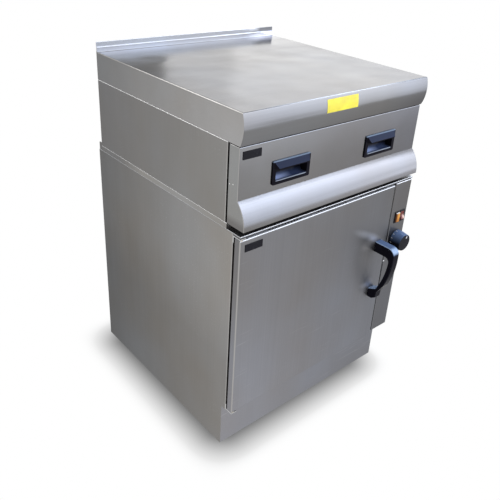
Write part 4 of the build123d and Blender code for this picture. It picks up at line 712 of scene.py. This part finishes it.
class OVEN_OT_panels(bpy.types.Operator):
    """Brushed stainless on every sheet metal panel, with the grain along each sheet"""

    bl_idname = "oven.panels"
    bl_label = "Panels"

    CASINGS = (
        "upper_left_side", "upper_right_side", "upper_back", "lower_back", "rear_cover", "joining_brackets",
    )
    SIDES = ("lower_left_side", "lower_right_side")
    FRAMES = ("plinth", "top_deck", "front_frame")
    LINERS = ("oven_liner", "fan_baffle", "door_inner")

    def execute(self, context):
        steel = context.scene.oven_steel
        plain, satin = steel.roughness, steel.door_roughness
        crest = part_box("worktop")[1].z
        # Painted reflections, painted shade and painted highlights: the drifts, ends, feet, bands, strips
        # and ovals, and the colours on the bends and upper faces.
        casing = {"drift": CASING_DRIFT, "side_bend": SOFT_BEND, "top_bend": SEAM_BEND}
        strip = {"drift": STRIP_DRIFT, "top_bend": SEAM_BEND}
        side_foot = (steel.side_foot, steel.side_foot, *SIDE_RISE)
        sides = {"foot": side_foot, "drift": SIDE_DRIFT, "side_bend": SOFT_BEND, "top_bend": SEAM_BEND}
        folds = {
            "ends": (steel.skirt_colour, steel.skirt_back),
            "above": (
                (crest - UPSTAND, steel.ledge_colour, steel.ledge_end, *LEDGE_FADE),
                (crest - UPSTAND_PLATE, steel.upstand_colour, steel.upstand_end, *UPSTAND_FADE),
            ),
            "deeper": ((steel.top_back, *BACK_FADE), (steel.strip_colour, *STRIP_FADE)),
            "drift": TOP_DRIFT,
            "painted_reflections": TOP_REFLECTIONS,
            "side_bend": SOFT_BEND,
            "scuff": TOP_SCUFF,
            "wave": TOP_WAVE,
        }
        nose = {
            "ends": (steel.drawer_ends, steel.drawer_ends),
            "foot": (steel.nose_foot, steel.nose_end, *NOSE_RISE),
            "drift": DRAWER_DRIFT,
            "upper_drift": NOSE_DRIFT,
            "side_bend": SOFT_BEND,
            "scuff": DRAWER_SCUFF,
        }
        door_foot = (steel.foot_colour, steel.foot_colour, *FOOT_RISE)
        frames = {"foot": door_foot, "drift": DOOR_DRIFT, "side_bend": SOFT_BEND, "top_bend": BRIGHT_BEND}
        door = {**frames, "lit_crown": LIT_CROWN, "painted_reflections": DOOR_REFLECTIONS}
        panel = {"top_bend": BRIGHT_BEND}
        # Name, direction of the grain, colour, roughness, extras and pieces of each finish
        for name, axis, colour, roughness, extra, pieces in (
            ("steel_casing", "Z", steel.sheet_colour, plain, casing, self.CASINGS),
            ("steel_strip", "Z", steel.sheet_colour, plain, strip, ("upper_base",)),
            ("steel_sides", "Z", steel.side_colour, plain, sides, self.SIDES),
            ("steel_top", "X", steel.top_colour, steel.top_roughness, folds, ("worktop",)),
            ("steel_drawer", "X", steel.drawer_colour, steel.drawer_roughness, nose, ("drawer_front",)),
            ("steel_box", "X", steel.box_colour, plain, {}, ("drawer_box",)),
            ("steel_door", "Z", steel.door_colour, satin, door, ("door_outer",)),
            ("steel_frame", "Z", steel.door_colour, satin, frames, self.FRAMES),
            ("steel_panel", "Z", steel.panel_colour, plain, panel, ("control_panel",)),
            ("steel_liner", "Y", steel.liner_colour, plain, {}, self.LINERS),
        ):
            dress(brushed_steel(name, axis, colour, roughness, steel.grain_depth, **extra), *pieces)
        return {"FINISHED"}


RUBBER = (0.03, 0.03, 0.03)
CERAMIC = (0.62, 0.6, 0.55)


class OVEN_OT_mouldings(bpy.types.Operator):
    """Black plastic on the handle, pulls and knob, and coloured lenses on the controls"""

    bl_idname = "oven.mouldings"
    bl_label = "Mouldings"

    PULLS = ("drawer_pull_left", "drawer_pull_right")
    HOUSINGS = ("lamp_housing", "switch_housing", "cable_gland", "thermostat")

    def execute(self, context):
        tones = context.scene.oven_mouldings
        # Painted sky sheen on the black pieces' upper faces, and painted highlights on the handle's upper
        # bends.
        handle = {"sky_sheen": tones.sky_sheen, "edge": tones.edge}
        pulls = {"sky_sheen": tones.pull_sky_sheen, "slopes": PULL_SLOPES, "glints": PULL_GLINTS}
        # Name, colour, roughness, highlight, extras and pieces of each plastic
        for name, colour, roughness, specular, extra, pieces in (
            ("handle_black", tones.black, 0.20, 0.02, handle, ("door_handle",)),
            ("pull_black", tones.black, 0.15, 0.03, pulls, self.PULLS),
            ("knob_black", tones.black, 0.20, 0.05, {"sky_sheen": tones.sky_sheen}, ("control_knob",)),
            ("housing_black", tones.black, 0.34, 0.16, {}, self.HOUSINGS),
            ("lens_amber", tones.amber, 0.16, 0.20, {"glints": LENS_GLINTS}, ("indicator_lamp",)),
            ("rocker_red", tones.red, 0.16, 0.20, {"glints": ROCKER_GLINTS}, ("switch_rocker",)),
            ("seal_rubber", RUBBER, 0.70, 0.50, {}, ("door_seal",)),
            ("terminal_white", CERAMIC, 0.50, 0.50, {}, ("terminal_block",)),
        ):
            dress(moulded_plastic(name, colour, roughness, specular, **extra), *pieces)
        return {"FINISHED"}


WIRE_PIECES = ("shelf_rack_left", "shelf_rack_right", "shelf_lower", "shelf_upper")
ZINC_PIECES = (
    "worktop_stiffeners", "runner_cabinet_rails", "runner_middle_rails", "runner_drawer_rails",
    "base_pan", "bay_wall", "motor_bridge", "foot_brackets",
)
TURNED_PIECES = (
    "hinge_lower", "hinge_upper", "catch_barrel", "catch_plunger", "fan_shaft", "thermostat_spindle",
    "handle_screws", "rear_screws", "levelling_feet",
)
# Name, colour, roughness, mottle and pieces of each metal
METALS = (
    ("plated_wire", (0.62, 0.62, 0.62), 0.22, MOTTLE_SCALE, WIRE_PIECES),
    ("zinc_plate", (0.42, 0.43, 0.45), 0.42, 60.0, ZINC_PIECES),
    ("turned_steel", (0.5, 0.5, 0.5), 0.25, 400.0, TURNED_PIECES),
    ("fan_aluminium", (0.6, 0.6, 0.61), 0.35, MOTTLE_SCALE, ("fan_impeller",)),
    ("element_sheath", (0.12, 0.11, 0.1), 0.5, MOTTLE_SCALE, ("ring_element",)),
    ("bush_brass", (0.55, 0.38, 0.14), 0.3, MOTTLE_SCALE, ("hinge_bushes", "thermostat_probe")),
)
MOTOR_PAINT = (0.06, 0.06, 0.065)
WOOL = (0.45, 0.4, 0.28)


class OVEN_OT_workings(bpy.types.Operator):
    """Finishes for the racks, shelves, runners, fan, motor, feet and other inner parts"""

    bl_idname = "oven.workings"
    bl_label = "Workings"

    def execute(self, context):
        for name, colour, roughness, scale, pieces in METALS:
            dress(plain_metal(name, colour, roughness, scale), *pieces)
        dress(moulded_plastic("motor_paint", MOTOR_PAINT, roughness=0.5), "fan_motor")
        dress(fibre_wool("mineral_wool", WOOL), "oven_insulation", "door_insulation")
        return {"FINISHED"}


# Name, carrier, body and place across and up of each plate
PLATES = (
    ("plate_drawer", "drawer_front", "drawer", -0.265, 0.808),
    ("plate_door", "door_outer", "door", -0.2605, 0.601),
)
PLATE_CORNER = 0.0012
PLATE_EDGE = 0.0004
FORWARD = (0.0, 1.0, 0.0)
CLEAR_FRONT = -1.0
RIGHTWARD = (1.0, 0.0, 0.0)
CLEAR_LEFT = -1.0


class OVEN_OT_plates(bpy.types.Operator):
    """Bare black plates on the drawer and the door"""

    bl_idname = "oven.plates"
    bl_label = "Plates"

    def execute(self, context):
        trim = context.scene.oven_trim
        colour = context.scene.oven_mouldings.black
        black = moulded_plastic("plate_black", colour, roughness=0.26, specular=0.1)
        size = (trim.plate_width, trim.plate_height, trim.plate_thickness)
        for name, carrier, body, x, z in PLATES:
            spot = landing(surface(carrier), (x, CLEAR_FRONT, z), FORWARD)[0]
            build = rounded_plate(*size, PLATE_CORNER, PLATE_EDGE)
            bmesh.ops.translate(build, verts=build.verts, vec=spot)
            add_piece(name, build, black, body)
        return {"FINISHED"}


PATCH_GRID = (24, 12)
PATCH_CREASE = math.radians(40.0)


class OVEN_OT_patch(bpy.types.Operator):
    """A plain yellow patch laid over the curve of the fascia"""

    bl_idname = "oven.patch"
    bl_label = "Patch"

    def execute(self, context):
        trim = context.scene.oven_trim
        left, right, low, top = trim.patch_left, trim.patch_right, trim.patch_bottom, trim.patch_top
        corners = [(x, CLEAR_FRONT, z) for x, z in ((left, low), (right, low), (right, top), (left, top))]
        build = laid_sheet(surface("worktop"), corners, FORWARD, *PATCH_GRID, trim.patch_thickness)
        vinyl = moulded_plastic("patch_vinyl", context.scene.oven_mouldings.yellow, roughness=0.32)
        patch = add_piece("fascia_patch", build, vinyl, "cabinet")
        for face in patch.data.polygons:
            face.use_smooth = True
        patch.data.set_sharp_from_angle(angle=PATCH_CREASE)
        return {"FINISHED"}


# Depth and level of each weld mark, place across and level of the bead, and their turns from facing forward
WELDS = ((-0.2405, 0.7400), (-0.2517, 0.7425))
WELD_TONE = (0.8, 0.8, 0.8)
WELD_TURN = -90.0
BEAD = (0.2340, 0.3900)
BEAD_TURN = -10.0
SPOT_CORNER = 0.49


class OVEN_OT_bright_spots(bpy.types.Operator):
    """Two spot weld marks on the drawer front's left end and a pale bead on the panel's edge beside the
    catch, which stands in for the catch's glint as a painted highlight
    """

    bl_idname = "oven.bright_spots"
    bl_label = "Bright spots"

    def execute(self, context):
        trim = context.scene.oven_trim
        drawer = surface("drawer_front")
        bright = plain_metal("weld_bright", WELD_TONE, roughness=0.3, scale=900.0)
        for count, (y, z) in enumerate(WELDS, 1):
            spot = landing(drawer, (CLEAR_LEFT, y, z), RIGHTWARD)[0]
            size = (trim.weld_size, trim.weld_height)
            self.add(f"weld_mark_{count}", spot, *size, WELD_TURN, bright, "drawer")
        # Painted highlight: a pale bead standing in for the catch's glint.
        pale = moulded_plastic("bead_painted_glint", context.scene.oven_mouldings.white, roughness=0.3)
        x, z = BEAD
        spot = landing(surface("control_panel"), (x, CLEAR_FRONT, z), FORWARD)[0]
        self.add("catch_bead", spot, trim.bead_size, trim.bead_height, BEAD_TURN, pale, "cabinet")
        return {"FINISHED"}

    def add(self, name, spot, size, height, turn, finish, body):
        """A round mark on a place, turned about the upright from facing forward."""
        build = rounded_plate(size, size, height, size * SPOT_CORNER, height / 2)
        bmesh.ops.rotate(build, verts=build.verts, matrix=Matrix.Rotation(math.radians(turn), 3, "Z"))
        bmesh.ops.translate(build, verts=build.verts, vec=spot)
        add_piece(name, build, finish, body)


class OVEN_OT_knob_marks(bpy.types.Operator):
    """White pointer on the knob's face and a scale of ticks round its skirt"""

    bl_idname = "oven.knob_marks"
    bl_label = "Knob marks"

    POINTER_ANGLE = math.radians(68.0)
    POINTER_REACH = (0.0125, 0.0205)
    POINTER_GRID = (6, 2)
    TICKS = 12
    TICK_SPAN = math.radians(290.0)
    TICK_DEPTHS = (0.0022, 0.0062)
    TICK_GRID = (1, 2)
    SPARE = 0.1

    def execute(self, context):
        trim = context.scene.oven_trim
        knob = surface("control_knob")
        low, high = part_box("control_knob")
        middle = (low + high) / 2
        paint = moulded_plastic("mark_white", context.scene.oven_mouldings.white, roughness=0.45)
        outward = Vector((math.cos(self.POINTER_ANGLE), 0.0, math.sin(self.POINTER_ANGLE)))
        aside = Vector((-outward.z, 0.0, outward.x)) * trim.mark_width / 2
        centre = Vector((middle.x, CLEAR_FRONT, middle.z))
        near, far = (centre + outward * reach for reach in self.POINTER_REACH)
        corners = (near - aside, far - aside, far + aside, near + aside)
        build = laid_sheet(knob, corners, FORWARD, *self.POINTER_GRID, trim.mark_height)
        add_piece("knob_pointer", build, paint, "knob")
        first, last = (high.y - depth for depth in self.TICK_DEPTHS)
        for tick in range(self.TICKS):
            angle = self.POINTER_ANGLE + self.TICK_SPAN * (tick / (self.TICKS - 1) - 0.5) + math.pi
            out = Vector((math.cos(angle), 0.0, math.sin(angle)))
            side = Vector((-out.z, 0.0, out.x)) * trim.mark_width / 4
            start = Vector((middle.x, 0.0, middle.z)) + out * self.SPARE
            steps = ((-side, last), (side, last), (side, first), (-side, first))
            corners = [start + shift + Vector((0.0, y, 0.0)) for shift, y in steps]
            build = laid_sheet(knob, corners, -out, *self.TICK_GRID, trim.mark_height)
            name = f"knob_tick_{tick + 1}"
            add_piece(name, build, paint, "knob")
        return {"FINISHED"}


FLOOR_SIDES = 96
PAPER_ROUGHNESS = 0.9
PAPER_FROM = 0.8
# A painted shadow round the oven's foot: its blur, its dark tone and how far it spreads past the foot on
# each side
FOOT_BLUR = 0.08
FOOT_SHADE = (0.06, 0.06, 0.06, 1.0)
SHADE_LOW = Vector((-0.035, -0.035, 0.0))
SHADE_HIGH = Vector((-0.02, 0.01, 0.0))
SENSOR_WIDTH = 36.0
WHITE_LIGHT = (1.0, 1.0, 1.0)
# Each fade has an axis of a lamp's panel, two shares along it and the strengths there
KEY_FADE = ("Y", 0.0, 0.645, 0.25, 1.0)
LOW_FADE = ("X", 0.742, 0.778, 1.0, 0.7)
# Name, place, aim, size, power, colour and fade of each lamp
LAMPS = (
    ("lamp_key", (1.9, -1.87, 1.57), (1.9, 0.0, 1.57), (2.6, 3.1), 104.0, (0.82, 0.88, 1.0), KEY_FADE),
    ("lamp_low_back", (3.298, 3.06, 1.94), (0.0, 0.0, 0.9), (2.83, 1.6), 42.7, WHITE_LIGHT, LOW_FADE),
    ("lamp_side", (1.95, 0.45, 2.45), (0.2, -0.3, 0.5), (1.2, 0.9), 22.0, (0.55, 0.72, 1.0), None),
    ("lamp_high", (1.7, -0.5, 2.4), (0.1, -0.35, 0.6), (0.6, 0.6), 16.0, (0.8, 0.88, 1.0), None),
    ("lamp_left_edges", (-1.45, 2.1, 2.3), (-0.3, 0.0, 0.7), (0.8, 0.8), 9.0, WHITE_LIGHT, None),
)


class OVEN_OT_stage(bpy.types.Operator):
    """The floor, lamps, white surround and the camera at the photograph's place"""

    bl_idname = "oven.stage"
    bl_label = "Stage"

    def execute(self, context):
        stage = context.scene.oven_stage
        context.scene.view_settings.view_transform = "Standard"
        self.floor(stage)
        self.surround(context.scene, stage)
        self.lamps(context.scene)
        self.camera(context.scene, stage)
        return {"FINISHED"}

    def floor(self, stage):
        """A paper floor that keeps the lamps' shadow near the oven, with a painted shadow darkening it
        there, fades to white and mirrors as white.
        """
        build = bmesh.new()
        bmesh.ops.create_circle(build, cap_ends=True, segments=FLOOR_SIDES, radius=stage.floor_radius)
        floor = bpy.data.objects.new("floor", mesh_from(build, "floor"))
        bpy.context.scene.collection.objects.link(floor)
        material, tree, shader = start_material("floor_paper", roughness=PAPER_ROUGHNESS)
        far = self.clear_of_foot(tree)
        lit = spread(tree, far, 0.0, 1.0, PAPER_FROM, 1.0)
        # Painted shadow: the paper is dark near the oven's foot.
        paper = blend(tree, lit, FOOT_SHADE, shade(stage.floor_colour))
        tree.links.new(paper, shader.inputs["Base Color"])
        white = node(tree, "ShaderNodeEmission", {"Color": PLAIN, "Strength": 1.0})
        path = node(tree, "ShaderNodeLightPath")
        seen = math_node(tree, "MULTIPLY", far, path.outputs["Is Camera Ray"])
        mixed = self.whitened(tree, path, seen, shader.outputs["BSDF"], white.outputs["Emission"])
        tree.links.new(mixed, tree.nodes["Material Output"].inputs["Surface"])
        floor.data.materials.append(material)

    def whitened(self, tree, path, seen, lit, white):
        """A shader that turns white where it is seen or mirrored."""
        rays = (path.outputs["Is Glossy Ray"], path.outputs["Is Transmission Ray"])
        factor = math_node(tree, "MAXIMUM", seen, math_node(tree, "MAXIMUM", *rays))
        return node(tree, "ShaderNodeMixShader", {0: factor, 1: lit, 2: white}).outputs["Shader"]

    def clear_of_foot(self, tree):
        """Nought on the floor deep below the oven, a half at its sides and one clear of it."""
        low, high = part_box("lower_left_side")[0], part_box("lower_right_side")[1]
        low.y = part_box("plinth")[0].y
        low, high = low + SHADE_LOW, high + SHADE_HIGH
        middle, reach = (low + high) / 2, (high - low) / 2
        place = node(tree, "ShaderNodeTexCoord").outputs["Object"]
        values = {0: place, 1: (middle.x, middle.y, 0.0)}
        shifted = node(tree, "ShaderNodeVectorMath", values, operation="SUBTRACT").outputs["Vector"]
        folded = node(tree, "ShaderNodeVectorMath", {0: shifted}, operation="ABSOLUTE").outputs["Vector"]
        parts = node(tree, "ShaderNodeSeparateXYZ", {0: folded}).outputs
        below = [
            fall(tree, parts[axis], edge - FOOT_BLUR, edge + FOOT_BLUR)
            for axis, edge in (("X", reach.x), ("Y", reach.y))
        ]
        return math_node(tree, "SUBTRACT", 1.0, math_node(tree, "MULTIPLY", *below))

    def surround(self, scene, stage):
        """A world that is white where it is seen or mirrored and gives soft light elsewhere."""
        world = bpy.data.worlds.new("surround")
        world.use_nodes = True
        tree = world.node_tree
        soft = tree.nodes["Background"]
        soft.inputs["Color"].default_value = PLAIN
        soft.inputs["Strength"].default_value = stage.surround
        white = node(tree, "ShaderNodeBackground", {"Color": PLAIN, "Strength": 1.0})
        path = node(tree, "ShaderNodeLightPath")
        seen = path.outputs["Is Camera Ray"]
        mixed = self.whitened(tree, path, seen, soft.outputs["Background"], white.outputs["Background"])
        tree.links.new(mixed, tree.nodes["World Output"].inputs["Surface"])
        scene.world = world

    def lamps(self, scene):
        """Soft lamps: a tall key at the front right and one behind, both graded, and three small ones."""
        for name, place, aim, size, power, colour, fade in LAMPS:
            lamp = bpy.data.lights.new(name, "AREA")
            lamp.shape = "RECTANGLE"
            lamp.size, lamp.size_y = size
            lamp.energy = power
            lamp.color = colour
            made = bpy.data.objects.new(name, lamp)
            made.location = place
            made.rotation_euler = (Vector(aim) - Vector(place)).to_track_quat("-Z", "Y").to_euler()
            made.visible_camera = False
            scene.collection.objects.link(made)
            if fade:
                self.fade(lamp, *fade)

    def fade(self, lamp, axis, low, high, first, last):
        """Dims a lamp's panel towards one edge."""
        lamp.use_nodes = True
        tree = lamp.node_tree
        panel = node(tree, "ShaderNodeNewGeometry")
        parts = node(tree, "ShaderNodeSeparateXYZ", {0: panel.outputs["Parametric"]})
        dimmed = spread(tree, parts.outputs[axis], first, last, low, high)
        tree.links.new(dimmed, tree.nodes["Emission"].inputs["Strength"])

    def camera(self, scene, stage):
        """The camera, placed and turned as the photograph's."""
        azimuth, elevation = stage.azimuth, stage.elevation
        flat = math.cos(elevation)
        ahead = Vector((math.sin(azimuth) * flat, math.cos(azimuth) * flat, -math.sin(elevation)))
        level = ahead.cross(Vector((0, 0, 1))).normalized()
        under = ahead.cross(level)
        right = level * math.cos(stage.roll) + under * math.sin(stage.roll)
        down = under * math.cos(stage.roll) - level * math.sin(stage.roll)
        turn = Matrix((right, -down, -ahead)).transposed()
        lens = bpy.data.cameras.new("camera")
        lens.sensor_width = SENSOR_WIDTH
        lens.lens = stage.lens
        lens.shift_x, lens.shift_y = stage.shift
        made = bpy.data.objects.new("camera", lens)
        made.matrix_world = Matrix.Translation(stage.camera_place) @ turn.to_4x4()
        scene.collection.objects.link(made)
        scene.camera = made


class OVEN_PT_pieces(bpy.types.Panel):
    """The oven's pieces and studio, in the order they are made"""

    bl_idname = "OVEN_PT_pieces"
    bl_label = "Oven"
    bl_space_type = "VIEW_3D"
    bl_region_type = "UI"
    bl_category = "Oven"

    def draw(self, context):
        for operator in OPERATORS:
            self.layout.operator(operator.bl_idname)


GROUPS = {
    "oven_steel": OvenSteel,
    "oven_mouldings": OvenMouldings,
    "oven_trim": OvenTrim,
    "oven_stage": OvenStage,
}
OPERATORS = (
    OVEN_OT_panels,
    OVEN_OT_mouldings,
    OVEN_OT_workings,
    OVEN_OT_plates,
    OVEN_OT_patch,
    OVEN_OT_bright_spots,
    OVEN_OT_knob_marks,
    OVEN_OT_stage,
)


def register():
    """Registers the property groups, operators and panel."""
    for name, group in GROUPS.items():
        bpy.utils.register_class(group)
        setattr(bpy.types.Scene, name, bpy.props.PointerProperty(type=group))
    for operator in OPERATORS:
        bpy.utils.register_class(operator)
    bpy.utils.register_class(OVEN_PT_pieces)


def unregister():
    """Takes the classes and properties out again."""
    bpy.utils.unregister_class(OVEN_PT_pieces)
    for operator in reversed(OPERATORS):
        bpy.utils.unregister_class(operator)
    for name, group in reversed(GROUPS.items()):
        delattr(bpy.types.Scene, name)
        bpy.utils.unregister_class(group)


def main():
    """Makes every piece."""
    register()
    bpy.ops.oven.panels()
    bpy.ops.oven.mouldings()
    bpy.ops.oven.workings()
    bpy.ops.oven.plates()
    bpy.ops.oven.patch()
    bpy.ops.oven.bright_spots()
    bpy.ops.oven.knob_marks()
    bpy.ops.oven.stage()


if __name__ == "__main__":
    main()
